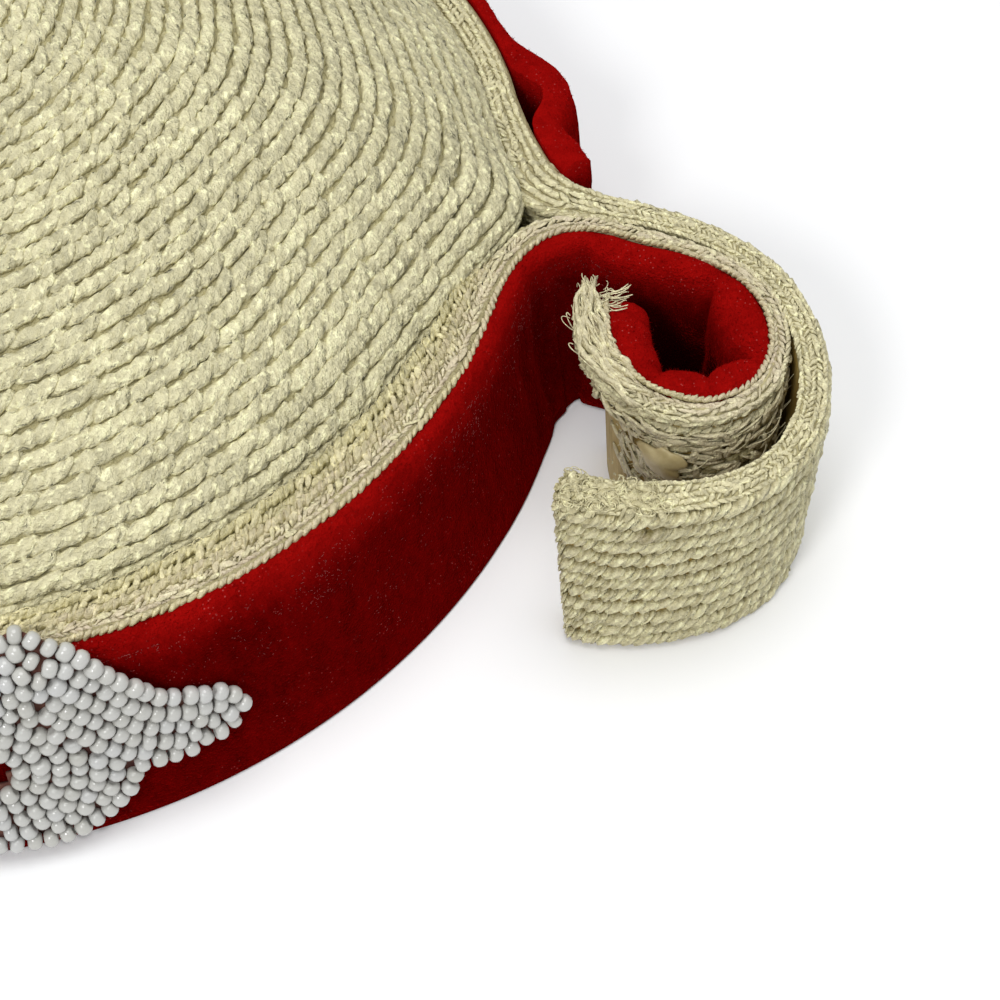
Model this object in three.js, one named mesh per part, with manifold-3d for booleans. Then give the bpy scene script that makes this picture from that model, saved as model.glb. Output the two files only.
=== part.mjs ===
// A small straw hat with a standing headband, in millimetres, +Z up, resting on its rim.
//
// A domed crown of straw braid stands inside a straw strip. The strip goes once round the head.
// Its two ends meet at the right-hand side, leave the hat together and curl forward in a scroll
// of two leaves. Velvet faces the strip outside and lines the curl. A bead applique sits in front.
//
// Plan angles are in degrees, from the -Y direction towards +X.

import * as THREE from 'three';
import { mergeVertices } from 'three/addons/utils/BufferGeometryUtils.js';
import Module from 'manifold-3d';

// Driving sizes of the band
const BAND_HEIGHT = 32;
const STRAW_RADIUS = 83.7; // outer face of the straw strip at its top edge
const BAND_LEAN = 5.6; // how far the band's foot stands outside its top edge
const STRAW_FRONT = 3.2; // wall of the strip where the edge braid lies inside it
const STRAW_BACK = 6.0; // wall of the folded strip behind
const STRAW_LEAF = 4.4; // wall of the strip where it runs out into the outer leaf
const STRAW_CHAMFER = 0.8;
const VELVET_WALL = 1.8;
const VELVET_SHORT = 0.5; // the velvet stops this far from the top and the foot of the straw
const EDGE_RISE = 0.4; // the edge braid stands this far above the strip
const BAND_DEPTH = 6.5; // strip, clearance and edge braid together
const CLEARANCE = 0.3;

// Driving sizes of the crown
const CROWN_WALL = 2.2;
const CROWN_RISE = 33; // top of the dome above the band's top edge
const CROWN_SHOULDER = 4; // height of the rounded shoulder below the band's top edge
const CROWN_CLEARANCE = 0.4;
const CROWN_SEGMENTS = 64;
const DOME_STEPS = 14;
const SHOULDER_STEPS = 4;

// The crown fills the corner where the band leaves it for the scroll
const SWELL = { angle: 86, out: 6.4, frontWidth: 6, backWidth: 13 };

// In front, behind the applique, the band's top edge is drawn in towards the crown
const PINCH = { angle: 12, width: 14, in: 2 };

// Where the straight-forward ring of the band starts, behind the scroll, and ends, before it
const RING_START = 100;
const RING_END = 426;
const RING_STEPS = 82;
const RING_EASE = 26; // over this angle the strip eases in from the outer leaf
const START_OUT = 0.8; // the strip stands this much wider where the ring starts
const FRONT_FROM = -56; // the edge braid runs between these two angles
const FRONT_TO = 80;
const FRONT_EASE = 12; // the folded strip thins over this angle, and the edge braid starts half-way
const EDGE_TAPER = { from: 60, share: 0.4 }; // the edge braid thins to this share at its right end
const LEAF_END_SLANT = 2.6; // the outer leaf's free end is cut back this far at its foot

// Driving sizes of the applique
const BEADWORK_ANGLE = PINCH.angle;
const BEADWORK_WALL = 2.3;
const BEADWORK_BEND = 31.6; // above this height the applique leans back over the band's edge
const BEADWORK_BACK = 0.8; // this far for each millimetre of height
const BEADWORK_HOLE = { height: 16.8, radius: 3.1, sides: 16 };

const ROWS_BETWEEN = 3; // sections between two rows of a leaf

const named = (columns, rows) =>
  rows.map((row) => Object.fromEntries(columns.map((column, i) => [column, row[i]])));

// Sections of the strip's outer face at its top edge. The outer leaf, from its free end to the ring:
const OUTER_LEAF = named(['x', 'y', 'straw', 'lean', 'velvet', 'lift'], [
  [86.5, -57.4, 6.2, 0, 0, 0],
  [94.0, -59.4, 6.4, 0, 0, 0],
  [102.0, -59.2, 5.6, 0, 0, 0],
  [110.0, -57.2, 4.9, 0, 0, 0],
  [117.0, -52.6, STRAW_LEAF, 0, 0, 0],
  [121.8, -45.4, STRAW_LEAF, 0, 0, 0],
  [123.7, -36.0, STRAW_LEAF, 0, 0, 0],
  [122.6, -26.0, STRAW_LEAF, 0, 0, 0],
  [118.4, -17.2, STRAW_LEAF, 0, 0, 0],
  [111.0, -10.6, STRAW_LEAF, 0, 0, 0],
  [102.0, -6.4, STRAW_LEAF, 0.5, 0, 0],
  [94.6, -3.6, STRAW_LEAF, 2.0, 0, 0],
  [89.4, -0.4, STRAW_LEAF, 3.6, 4.2, 0.2],
  [86.2, 5.6, STRAW_LEAF, 4.8, 4.2, 0.6],
]);

// The inner leaf, from the ring to its frayed end inside the curl:
const INNER_LEAF = named(['x', 'y', 'straw', 'lean', 'velvet', 'lift'], [
  [80.2, -22.6, STRAW_FRONT, BAND_LEAN, 2.4, 0],
  [82.8, -17.0, STRAW_FRONT, 5.2, 1.9, 0],
  [86.6, -12.6, 3.0, 4.4, 2.6, 0.1],
  [92.4, -11.2, 2.8, 3.0, 2.0, 0.2],
  [99.6, -13.6, 2.7, 1.2, 2.9, 0.1],
  [107.4, -16.8, 2.7, 0, 3.4, 0],
  [113.0, -20.8, 2.7, 0, 4.6, 0],
  [115.8, -26.6, 2.7, 0, 3.4, 0],
  [115.8, -33.0, 2.7, 0, 4.8, 0],
  [112.4, -38.8, 3.2, 0, 3.6, 0],
  [106.5, -41.2, 3.6, 0, 4.8, 0],
  [100.4, -39.2, 4.0, 0, 3.8, 0],
  [96.4, -34.4, 4.4, 0, 4.6, 0],
  [94.8, -28.6, 4.8, 0, 4.0, 0],
  [95.2, -22.0, 4.2, 0, 3.0, 0],
]);

// Ripples of the velvet behind the scroll, where it has come away from the straw:
const RIPPLES = named(['angle', 'width', 'out', 'thicker'], [
  [103, 5, 3.4, 2.6],
  [113, 4, 0.5, 0.5],
  [122, 4, 0.4, 0.3],
]);

// Upright strips of the applique, from its middle to the tip of its leaf. Heights are above the rim:
const BEADWORK = named(['across', 'foot', 'top'], [
  [0.0, 4.5, 32.8],
  [4.0, 3.8, 33.2],
  [6.5, 3.9, 34.0],
  [8.5, 4.3, 35.6],
  [11.0, 5.2, 34.2],
  [14.0, 7.2, 32.0],
  [16.5, 10.8, 29.6],
  [20.0, 11.8, 24.4],
  [24.0, 11.4, 21.2],
  [28.0, 12.2, 19.2],
  [31.2, 13.8, 16.2],
]);

const radians = THREE.MathUtils.degToRad;
const lerp = THREE.MathUtils.lerp;
const smoothstep = THREE.MathUtils.smoothstep;
const bell = (distance, width) => Math.exp(-((distance / width) ** 2));

// Degrees from one angle to another, between -180 and 180
const turnBetween = (from, to) => THREE.MathUtils.euclideanModulo(to - from + 180, 360) - 180;

const pinchAt = (angle) => PINCH.in * bell(turnBetween(PINCH.angle, angle), PINCH.width);

function ringSection(angle) {
  const turn = turnBetween(0, angle);
  const ease = 1 - smoothstep(angle, RING_START, RING_START + RING_EASE);
  const front = turn < RING_START ? smoothstep(turn, FRONT_FROM - FRONT_EASE, FRONT_FROM) : 0;
  const pinch = pinchAt(angle);
  const radius = STRAW_RADIUS + START_OUT * ease - pinch;
  const section = {
    x: radius * Math.sin(radians(angle)),
    y: -radius * Math.cos(radians(angle)),
    straw: lerp(lerp(STRAW_BACK, STRAW_LEAF, ease), STRAW_FRONT, front) - pinch / 2,
    lean: BAND_LEAN + pinch,
    velvet: VELVET_WALL,
    lift: 0,
  };
  for (const ripple of RIPPLES) {
    const share = bell(turnBetween(ripple.angle, angle), ripple.width);
    section.lift += ripple.out * share;
    section.velvet += ripple.thicker * share;
  }
  return section;
}

const RING = Array.from({ length: RING_STEPS + 1 }, (_, i) =>
  ringSection(lerp(RING_START, RING_END, i / RING_STEPS)));

// The whole strip, a row for each section, and the smooth line through its rows
const STRIP = [...OUTER_LEAF, ...RING, ...INNER_LEAF];
const FIRST_RING_ROW = OUTER_LEAF.length;
const LAST_RING_ROW = FIRST_RING_ROW + RING_STEPS;
const STRIP_LINE = new THREE.CatmullRomCurve3(
  STRIP.map((row) => new THREE.Vector3(row.x, row.y, 0)), false, 'centripetal');

// The strip's section at a row number, which may lie between two rows
function stripSection(place) {
  const before = Math.min(Math.floor(place), STRIP.length - 2);
  const share = place - before;
  const section = {};
  for (const column of ['straw', 'lean', 'velvet', 'lift']) {
    section[column] = lerp(STRIP[before][column], STRIP[before + 1][column], share);
  }
  section.point = STRIP_LINE.getPoint(place / (STRIP.length - 1));
  section.along = STRIP_LINE.getTangent(place / (STRIP.length - 1));
  section.outward = new THREE.Vector3(section.along.y, -section.along.x, 0).normalize();
  section.slant = LEAF_END_SLANT * Math.max(0, 1 - place);
  section.angle = THREE.MathUtils.radToDeg(Math.atan2(section.point.x, -section.point.y));
  return section;
}

// Row numbers of the sections from one place to another: each row of the ring, and more on the leaves
function placesBetween(from, to) {
  const places = [from];
  let place = from;
  while (place < to) {
    const onRing = place >= FIRST_RING_ROW && place < LAST_RING_ROW;
    place += onRing ? 1 : 1 / ROWS_BETWEEN;
    places.push(Math.min(place, to));
  }
  return places;
}

// A point of a section: out from the strip's outer face, and up
function sectionPoint(section, out, up) {
  const low = 1 - up / BAND_HEIGHT;
  const point = section.point.clone().addScaledVector(section.outward, out + section.lean * low);
  return point.addScaledVector(section.along, section.slant * low).setZ(up);
}

// A closed body through rings of points, all of one count, with flat ends. A ring runs
// anticlockwise for someone who looks along the sweep
function closedSweep(rings) {
  const count = rings[0].length;
  const positions = rings.flat().flatMap((point) => [point.x, point.y, point.z]);
  const indices = [];
  for (let r = 0; r < rings.length - 1; r += 1) {
    for (let i = 0; i < count; i += 1) {
      const next = (i + 1) % count;
      const a = r * count + i;
      const b = r * count + next;
      indices.push(a, b + count, b, a, a + count, b + count);
    }
  }
  const last = (rings.length - 1) * count;
  for (let i = 1; i < count - 1; i += 1) {
    indices.push(0, i, i + 1);
    indices.push(last, last + i + 1, last + i);
  }
  const geometry = new THREE.BufferGeometry();
  geometry.setAttribute('position', new THREE.Float32BufferAttribute(positions, 3));
  geometry.setIndex(indices);
  return geometry;
}

function headband() {
  const places = placesBetween(0, STRIP.length - 1);
  return closedSweep(places.map((place) => {
    const section = stripSection(place);
    const top = BAND_HEIGHT;
    return [
      sectionPoint(section, 0, 0),
      sectionPoint(section, 0, top - STRAW_CHAMFER),
      sectionPoint(section, -STRAW_CHAMFER, top),
      sectionPoint(section, STRAW_CHAMFER - section.straw, top),
      sectionPoint(section, -section.straw, top - STRAW_CHAMFER),
      sectionPoint(section, -section.straw, 0),
    ];
  }));
}

// Velvet from behind the scroll, round the head and into the curl, with a rolled top edge
function velvetFacing() {
  const first = OUTER_LEAF.findIndex((row) => row.velvet > 0);
  const places = placesBetween(first, STRIP.length - 1 - 1 / ROWS_BETWEEN);
  const foot = VELVET_SHORT;
  const top = BAND_HEIGHT - VELVET_SHORT;
  return closedSweep(places.map((place) => {
    const section = stripSection(place);
    const inner = CLEARANCE + section.lift;
    const outer = inner + section.velvet;
    const roll = section.velvet / 3;
    return [
      sectionPoint(section, inner, foot),
      sectionPoint(section, outer, foot),
      sectionPoint(section, outer, top - 2 * roll),
      sectionPoint(section, outer - roll / 2, top - roll / 2),
      sectionPoint(section, outer - 1.5 * roll, top),
      sectionPoint(section, inner, top - roll / 2),
    ];
  }));
}

// A second, finer braid between the strip and the crown, along the front
function edgeBraid() {
  const ringRow = (angle) =>
    FIRST_RING_ROW + ((angle - RING_START) / (RING_END - RING_START)) * RING_STEPS;
  const last = STRIP.findIndex((row, i) =>
    i > LAST_RING_ROW && Math.atan2(row.x, -row.y) > radians(FRONT_TO));
  const places = placesBetween(Math.ceil(ringRow(360 + FRONT_FROM - FRONT_EASE / 2)), last);
  return closedSweep(places.map((place) => {
    const section = stripSection(place);
    const taper = 1 - (1 - EDGE_TAPER.share) * smoothstep(section.angle, EDGE_TAPER.from, FRONT_TO);
    const outer = -section.straw - CLEARANCE;
    const depth = BAND_DEPTH - pinchAt(section.angle);
    const inner = outer - (depth - section.straw - CLEARANCE) * taper;
    const top = BAND_HEIGHT + EDGE_RISE;
    return [
      sectionPoint(section, outer, CLEARANCE),
      sectionPoint(section, outer, top),
      sectionPoint(section, inner + STRAW_CHAMFER, top),
      sectionPoint(section, inner, top - STRAW_CHAMFER),
      sectionPoint(section, inner, CLEARANCE),
    ];
  }));
}

// Points of the dome from its top down to the rim, a wall's depth inside the outer face
function crownFace(depth) {
  const edge = STRAW_RADIUS - BAND_DEPTH - CROWN_CLEARANCE;
  const sphere = (edge ** 2 + CROWN_RISE ** 2) / (2 * CROWN_RISE);
  const centre = BAND_HEIGHT + CROWN_RISE - sphere;
  const shoulder = BAND_HEIGHT - CROWN_SHOULDER;
  const slope = Math.asin(edge / sphere);
  const points = [];
  for (let i = 0; i <= DOME_STEPS; i += 1) {
    const turn = (slope * i) / DOME_STEPS;
    const radius = (sphere - depth) * Math.sin(turn);
    points.push(new THREE.Vector2(radius, centre + (sphere - depth) * Math.cos(turn)));
  }
  for (let i = 1; i <= SHOULDER_STEPS; i += 1) {
    const up = shoulder * (1 - i / SHOULDER_STEPS);
    points.push(new THREE.Vector2(edge + BAND_LEAN * (1 - up / BAND_HEIGHT) - depth, up));
  }
  return points;
}

function crown() {
  const profile = [...crownFace(CROWN_WALL), ...crownFace(0).reverse()];
  const geometry = new THREE.LatheGeometry(profile, CROWN_SEGMENTS).rotateX(Math.PI / 2);
  geometry.deleteAttribute('normal');
  geometry.deleteAttribute('uv');
  const position = geometry.getAttribute('position');
  const point = new THREE.Vector3();
  const edge = STRAW_RADIUS - BAND_DEPTH - CROWN_CLEARANCE;
  for (let i = 0; i < position.count; i += 1) {
    point.fromBufferAttribute(position, i);
    const turn = turnBetween(SWELL.angle, THREE.MathUtils.radToDeg(Math.atan2(point.x, -point.y)));
    const width = turn < 0 ? SWELL.frontWidth : SWELL.backWidth;
    const high = Math.min(point.z / BAND_HEIGHT, 1);
    const near = smoothstep(Math.hypot(point.x, point.y), edge / 2, edge);
    const out = SWELL.out * bell(turn, width) * high * near;
    point.multiplyScalar(1 + out / Math.max(Math.hypot(point.x, point.y), 1)).setZ(position.getZ(i));
    position.setXYZ(i, point.x, point.y, point.z);
  }
  return mergeVertices(geometry);
}

// A point across the applique from its middle, out from the velvet's face, and up
function onVelvet(across, out, up) {
  const angle = BEADWORK_ANGLE + THREE.MathUtils.radToDeg(across / (STRAW_RADIUS + BAND_LEAN));
  const pinch = pinchAt(angle);
  const low = 1 - Math.min(up, BEADWORK_BEND) / BAND_HEIGHT;
  const back = BEADWORK_BACK * Math.max(0, up - BEADWORK_BEND);
  const velvet = STRAW_RADIUS - pinch + CLEARANCE + VELVET_WALL + (BAND_LEAN + pinch) * low;
  const radius = velvet + out - back;
  return new THREE.Vector3(radius * Math.sin(radians(angle)), -radius * Math.cos(radians(angle)), up);
}

function beadApplique(wasm) {
  const mirrored = BEADWORK.slice(1).reverse().map((row) => ({ ...row, across: -row.across }));
  const plate = closedSweep([...mirrored, ...BEADWORK].map(({ across, foot, top }) => {
    const bend = top > BEADWORK_BEND ? BEADWORK_BEND : (foot + 3 * top) / 4;
    const inner = CLEARANCE;
    const outer = CLEARANCE + BEADWORK_WALL;
    return [
      onVelvet(across, outer, foot),
      onVelvet(across, outer, bend),
      onVelvet(across, outer, top),
      onVelvet(across, inner, top),
      onVelvet(across, inner, bend),
      onVelvet(across, inner, foot),
    ];
  }));
  const { radius, sides, height } = BEADWORK_HOLE;
  const hole = new THREE.CylinderGeometry(radius, radius, 4 * BEADWORK_WALL, sides);
  const middle = onVelvet(0, CLEARANCE + BEADWORK_WALL / 2, height);
  hole.rotateZ(radians(BEADWORK_ANGLE)).translate(middle.x, middle.y, middle.z);
  return cut(wasm, plate, hole);
}

function solidOf(wasm, source) {
  const geometry = source.clone();
  geometry.deleteAttribute('normal');
  geometry.deleteAttribute('uv');
  const merged = mergeVertices(geometry);
  return new wasm.Manifold(new wasm.Mesh({
    numProp: 3,
    vertProperties: Float32Array.from(merged.getAttribute('position').array),
    triVerts: Uint32Array.from(merged.getIndex().array),
  }));
}

function cut(wasm, body, tool) {
  const result = solidOf(wasm, body).subtract(solidOf(wasm, tool)).getMesh();
  const geometry = new THREE.BufferGeometry();
  geometry.setAttribute('position', new THREE.BufferAttribute(result.vertProperties, 3));
  geometry.setIndex(new THREE.BufferAttribute(result.triVerts, 1));
  return geometry;
}

function piece(name, geometry, color, roughness) {
  const material = new THREE.MeshStandardMaterial({ color, roughness, metalness: 0 });
  const mesh = new THREE.Mesh(geometry, material);
  mesh.name = name;
  return mesh;
}

const wasm = await Module();
wasm.setup();

// The hat is turned so that the applique faces -Y, then set with its box over the origin
const turned = new THREE.Group();
turned.rotation.z = -radians(BEADWORK_ANGLE);
turned.add(
  piece('crown', crown(), 0xd9d2ae, 0.6),
  piece('headband', headband(), 0xdcd4b0, 0.6),
  piece('edge_braid', edgeBraid(), 0xd4c6a4, 0.65),
  piece('velvet_facing', velvetFacing(), 0x8c0408, 0.9),
  piece('bead_applique', beadApplique(wasm), 0xd8dade, 0.25),
);

const hat = new THREE.Group();
hat.add(turned);
hat.updateMatrixWorld(true);
const box = new THREE.Box3().setFromObject(hat, true);
hat.position.set(-(box.min.x + box.max.x) / 2, -(box.min.y + box.max.y) / 2, -box.min.z);
hat.updateMatrixWorld(true);

export default hat;
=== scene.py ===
# %% [markdown]
# A small straw hat stands on its rim. A domed crown of straw plaits, sewn in a spiral, sits inside a
# standing headband. The band's two ends meet at the right-hand side and curl forward in a scroll of
# two leaves. Red velvet faces the band and lines the curl, and white seed beads are sewn on in front.
#
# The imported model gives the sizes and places. This lesson puts the straw, the velvet and the beads on
# it, so every part below is worked out in the same frame.

# %% Load the frame
import math

import bpy
import numpy as np
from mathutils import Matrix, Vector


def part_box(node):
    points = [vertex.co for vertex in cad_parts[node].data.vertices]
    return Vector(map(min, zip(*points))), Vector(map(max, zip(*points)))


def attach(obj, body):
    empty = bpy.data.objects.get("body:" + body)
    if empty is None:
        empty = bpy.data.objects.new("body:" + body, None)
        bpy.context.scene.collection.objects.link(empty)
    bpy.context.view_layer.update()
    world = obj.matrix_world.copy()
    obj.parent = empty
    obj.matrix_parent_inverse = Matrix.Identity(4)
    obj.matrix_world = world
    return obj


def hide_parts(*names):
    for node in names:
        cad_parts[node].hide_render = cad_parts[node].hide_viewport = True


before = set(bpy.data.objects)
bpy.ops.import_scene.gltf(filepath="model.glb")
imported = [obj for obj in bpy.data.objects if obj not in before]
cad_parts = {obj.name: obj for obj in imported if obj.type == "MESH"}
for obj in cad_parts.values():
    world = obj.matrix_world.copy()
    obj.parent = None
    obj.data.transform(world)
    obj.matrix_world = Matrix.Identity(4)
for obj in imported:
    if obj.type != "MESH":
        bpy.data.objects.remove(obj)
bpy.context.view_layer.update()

MM = 0.001
chance = np.random.default_rng(12)
bpy.ops.object.select_all(action="DESELECT")
print("nodes of the frame:", sorted(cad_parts))

# %% [markdown]
# The band is one long strip on edge. Its plan is the key to most of the hat, so it comes first: rows
# of sections along the outer leaf, a formula round the head, and rows along the inner leaf. A smooth
# line runs through them all. A spline object could hold that line, but arrays let thousands of small
# plaits ask for their places at once.
#
# Plan angles are in degrees, from the front, -Y, towards +X. Sizes are in millimetres.

# %% Sizes of the strip
BAND_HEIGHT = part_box("headband")[1].z / MM
STRAW_RADIUS = 83.7  # outer face of the straw strip at its top edge
BAND_LEAN = 5.6  # how far the band's foot stands outside its top edge
STRAW_FRONT = 3.2  # the strip's depth along the front
STRAW_BACK = 6.0  # and behind
STRAW_START = 5.6  # and where the ring starts, beside the scroll
STRAW_LEAF = 4.4  # and in the bend of the outer leaf
VELVET_WALL = 1.8  # the cloth with its padding
VELVET_SHORT = 0.5  # the velvet stops this far from the foot of the straw
CLEARANCE = 0.3  # between the straw and what lies beside it
BAND_DEPTH = 6.5  # strip and edge braid together
LEAF_END_SLANT = 2.6  # the free end is cut back this far at its foot
PINCH_ANGLE, PINCH_WIDTH, PINCH_IN = 12, 14, 2  # the band is drawn in behind the ornament
RING_START, RING_END, RING_STEPS = 100, 426, 82  # plan angles of the ring's ends, and its rows
RING_EASE, START_OUT = 26, 0.8  # the ring starts a little too wide and eases in over this angle
FRONT_FROM, FRONT_TO, FRONT_EASE = -56, 80, 12  # plan angles of the shallow stretch along the front
print(f"band: {BAND_HEIGHT:.0f} mm high, radius {STRAW_RADIUS} mm at its top edge")

# %% [markdown]
# Each leaf of the scroll is a short table with a row for each place where the strip bends or changes. A
# row says where the strip's outer face stands, how deep the straw is, how far its foot stands out, how thick
# the velvet is and how far it is lifted off the straw.

# %% Rows of the two leaves
# Columns: x, y, straw, lean, velvet, lift. The outer leaf, from its free end to the ring
OUTER_LEAF = [
    (86.5, -57.4, 6.2, 0, 0, 0),
    (94.0, -59.4, 6.4, 0, 0, 0),
    (102.0, -59.2, 5.6, 0, 0, 0),
    (110.0, -57.2, 4.9, 0, 0, 0),
    (117.0, -52.6, STRAW_LEAF, 0, 0, 0),
    (121.8, -45.4, STRAW_LEAF, 0, 0, 0),
    (123.7, -36.0, STRAW_LEAF, 0, 0, 0),
    (122.6, -26.0, STRAW_LEAF, 0, 0, 0),
    (118.4, -17.2, STRAW_LEAF, 0, 0, 0),
    (111.0, -10.6, STRAW_LEAF, 0, 0, 0),
    (102.0, -6.4, STRAW_LEAF, 0.5, 0, 0),
    (94.6, -3.6, 6.0, 2.0, 0, 0),
    (89.4, -0.4, 8.6, 3.6, 5.2, 0.2),
    (86.2, 5.6, 6.4, 4.8, 5.2, 0.1),
]

# The inner leaf, from the ring to its frayed end inside the curl
INNER_LEAF = [
    (80.2, -22.6, STRAW_FRONT, BAND_LEAN, 2.4, 0),
    (82.8, -17.0, STRAW_FRONT, 5.2, 1.9, 0),
    (86.6, -12.6, 3.0, 4.4, 2.6, 0.1),
    (92.4, -11.2, 2.8, 3.0, 2.0, 0.2),
    (99.6, -13.6, 2.7, 1.2, 2.9, 0.1),
    (107.4, -16.8, 2.7, 0, 3.4, 0),
    (113.0, -20.8, 2.7, 0, 4.6, 0),
    (115.8, -26.6, 2.7, 0, 3.4, 0),
    (115.8, -33.0, 2.7, 0, 4.8, 0),
    (112.4, -38.8, 3.2, 0, 3.6, 0),
    (106.5, -41.2, 3.6, 0, 4.8, 0),
    (100.4, -39.2, 4.0, 0.8, 3.8, 0),
    (96.4, -34.4, 4.4, 1.8, 4.6, 0),
    (94.8, -28.6, 4.8, 2.2, 4.0, 0),
    (95.2, -22.0, 4.2, 2.2, 3.0, 0),
]
print("rows of the leaves:", len(OUTER_LEAF), "and", len(INNER_LEAF))

# %% [markdown]
# Round the head the strip is a circle, so its rows come from a formula instead of a table. The circle is
# drawn in behind the ornament, and the strip is shallower along the front, where the edge braid lies inside
# it. Just behind the scroll the velvet has come away from the straw, which leaves a dark hollow.

# %% Rows of the ring
# Ripples of the velvet behind the scroll. Columns: angle, width, out, thicker
RIPPLES = [(115, 4, 0.3, 0.6), (123, 4, 0.2, 0.3)]

# Here the velvet has come away from the straw. Columns: angle, gap behind the cloth, cloth
LOOSE = np.array([
    (94.0, 0.1, 4.8), (95.4, 0.1, 3.9), (96.8, 0.1, 4.3), (98.0, 1.8, 4.2),
    (99.4, 3.6, 3.3), (101.4, 3.7, 4.2), (103.0, 1.6, 6.0), (104.4, 0.1, 6.6),
    (106.0, 0.1, 5.0), (107.6, 0.1, 3.3), (109.6, 0.1, 2.4), (113.0, 0.1, 2.2),
])


def bell(distance, width):
    """A round bump: 1 in its middle, near 0 at twice its width."""
    return np.exp(-((distance / width) ** 2))


def smooth(value, low, high):
    """A smooth step from 0 at low to 1 at high. With low above high it falls."""
    share = np.clip((value - low) / (high - low), 0, 1)
    return share * share * (3 - 2 * share)


def turn_between(start, end):
    """The shorter way from one angle to another, in degrees."""
    return np.mod(end - start + 180, 360) - 180


def pinch_at(angle):
    """How far the band is drawn in at a plan angle."""
    return PINCH_IN * bell(turn_between(PINCH_ANGLE, angle), PINCH_WIDTH)


def ring_row(angle):
    """The row of the strip at a plan angle of the ring."""
    turn = turn_between(0, angle)
    ease = 1 - smooth(angle, RING_START, RING_START + RING_EASE)
    front = smooth(turn, FRONT_FROM - FRONT_EASE, FRONT_FROM) if turn < RING_START else 0
    pinch = pinch_at(angle)
    radius = STRAW_RADIUS + START_OUT * ease - pinch
    back = STRAW_BACK + (STRAW_START - STRAW_BACK) * ease
    straw = back + (STRAW_FRONT - back) * front - pinch / 2
    swell = [bell(turn_between(at, angle), width) for at, width, out, thicker in RIPPLES]
    lift = sum(share * ripple[2] for share, ripple in zip(swell, RIPPLES))
    velvet = VELVET_WALL + sum(share * ripple[3] for share, ripple in zip(swell, RIPPLES))
    x = radius * math.sin(math.radians(angle))
    y = -radius * math.cos(math.radians(angle))
    return (x, y, straw, BAND_LEAN + pinch, velvet, lift)


RING = [ring_row(angle) for angle in np.linspace(RING_START, RING_END, RING_STEPS + 1)]
ROWS = np.array(OUTER_LEAF + RING + INNER_LEAF, float)
FIRST_INNER_ROW = len(OUTER_LEAF) + len(RING)
LAST_ROW = len(ROWS) - 1
print("rows of the strip:", len(ROWS))

# %% [markdown]
# A line through the rows has to bend evenly and must not overshoot where rows lie close. A centripetal
# Catmull-Rom line does both. The other columns follow on the same steps, with their corners rounded off.

# %% The smooth line through the rows
STEPS = 24  # steps between two rows
LOOSE_STEPS = 9  # the loose cloth's corners are rounded off over these steps


def smooth_line(points, steps):
    """A centripetal Catmull-Rom line through points, with a number of steps in each span."""
    ends = np.vstack([2 * points[0] - points[1], points, 2 * points[-1] - points[-2]])
    a, b, c, d = ends[:-3], ends[1:-2], ends[2:-1], ends[3:]
    ab, bc, cd = (np.sqrt(np.linalg.norm(q - p, axis=1))[:, None] for p, q in ((a, b), (b, c), (c, d)))
    leave = ((b - a) / ab - (c - a) / (ab + bc) + (c - b) / bc) * bc
    reach = ((c - b) / bc - (d - b) / (bc + cd) + (d - c) / cd) * bc
    t = (np.arange(steps) / steps)[None, :, None]
    b, c, leave, reach = (part[:, None, :] for part in (b, c, leave, reach))
    line = (2 * t**3 - 3 * t**2 + 1) * b + (t**3 - 2 * t**2 + t) * leave
    line = line + (3 * t**2 - 2 * t**3) * c + (t**3 - t**2) * reach
    return np.vstack([line.reshape(-1, points.shape[1]), points[-1:]])


def running_sum(steps):
    """The sum of all steps so far, from 0."""
    return np.concatenate([[0], np.cumsum(steps)])


def unit(vectors):
    """Vectors in the same directions, each of length 1."""
    return vectors / np.maximum(np.linalg.norm(vectors, axis=-1, keepdims=True), 1e-9)


def rounded(column, steps):
    """A column with its corners rounded off over a number of steps."""
    padded = np.pad(column, steps // 2, mode="edge")
    return np.convolve(padded, np.full(steps, 1 / steps), mode="valid")


def spread(column):
    """A column of the rows on every step."""
    return rounded(np.interp(STEP_ROW, np.arange(len(ROWS)), column), STEPS + 1)


def puckered(column):
    """A column whose low rows are sharp creases between round cushions."""
    before = np.minimum(STEP_ROW.astype(int), LAST_ROW - 1)
    share = STEP_ROW - before
    start, end = column[before], column[before + 1]
    rising = np.sin(share * np.pi / 2)
    falling = 1 - np.cos(share * np.pi / 2)
    return start + (end - start) * np.where(end > start, rising, falling)


STEP_ROW = np.arange(LAST_ROW * STEPS + 1) / STEPS
LINE = smooth_line(ROWS[:, :2], STEPS)
ARC = running_sum(np.linalg.norm(np.diff(LINE, axis=0), axis=1))
ALONG = unit(np.gradient(LINE, ARC, axis=0))
STRAW, LEAN, LIFT = (spread(ROWS[:, column]) for column in (2, 3, 5))
VELVET = puckered(ROWS[:, 4])
SLANT = LEAF_END_SLANT * np.maximum(0, 1 - STEP_ROW)
PLAN = np.degrees(np.arctan2(LINE[:, 0], -LINE[:, 1]))
loose = (PLAN > LOOSE[0, 0]) & (PLAN < LOOSE[-1, 0])
LIFT[loose] = np.interp(PLAN[loose], LOOSE[:, 0], LOOSE[:, 1])
VELVET[loose] = np.interp(PLAN[loose], LOOSE[:, 0], LOOSE[:, 2])
LIFT, VELVET = rounded(LIFT, LOOSE_STEPS), rounded(VELVET, LOOSE_STEPS)
STRIP_LENGTH = ARC[-1]
print(f"strip length {STRIP_LENGTH:.0f} mm")

# %% [markdown]
# From here on, a place on the hat is given by a length along the strip, called its arc, by how far it stands
# out from the strip's face, and by its height. One function turns these into points of the plan, for whole
# arrays at once.

# %% Points beside the strip
def along_strip(arc, column):
    """A column's value at a length along the strip."""
    return np.interp(arc, ARC, column)


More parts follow.
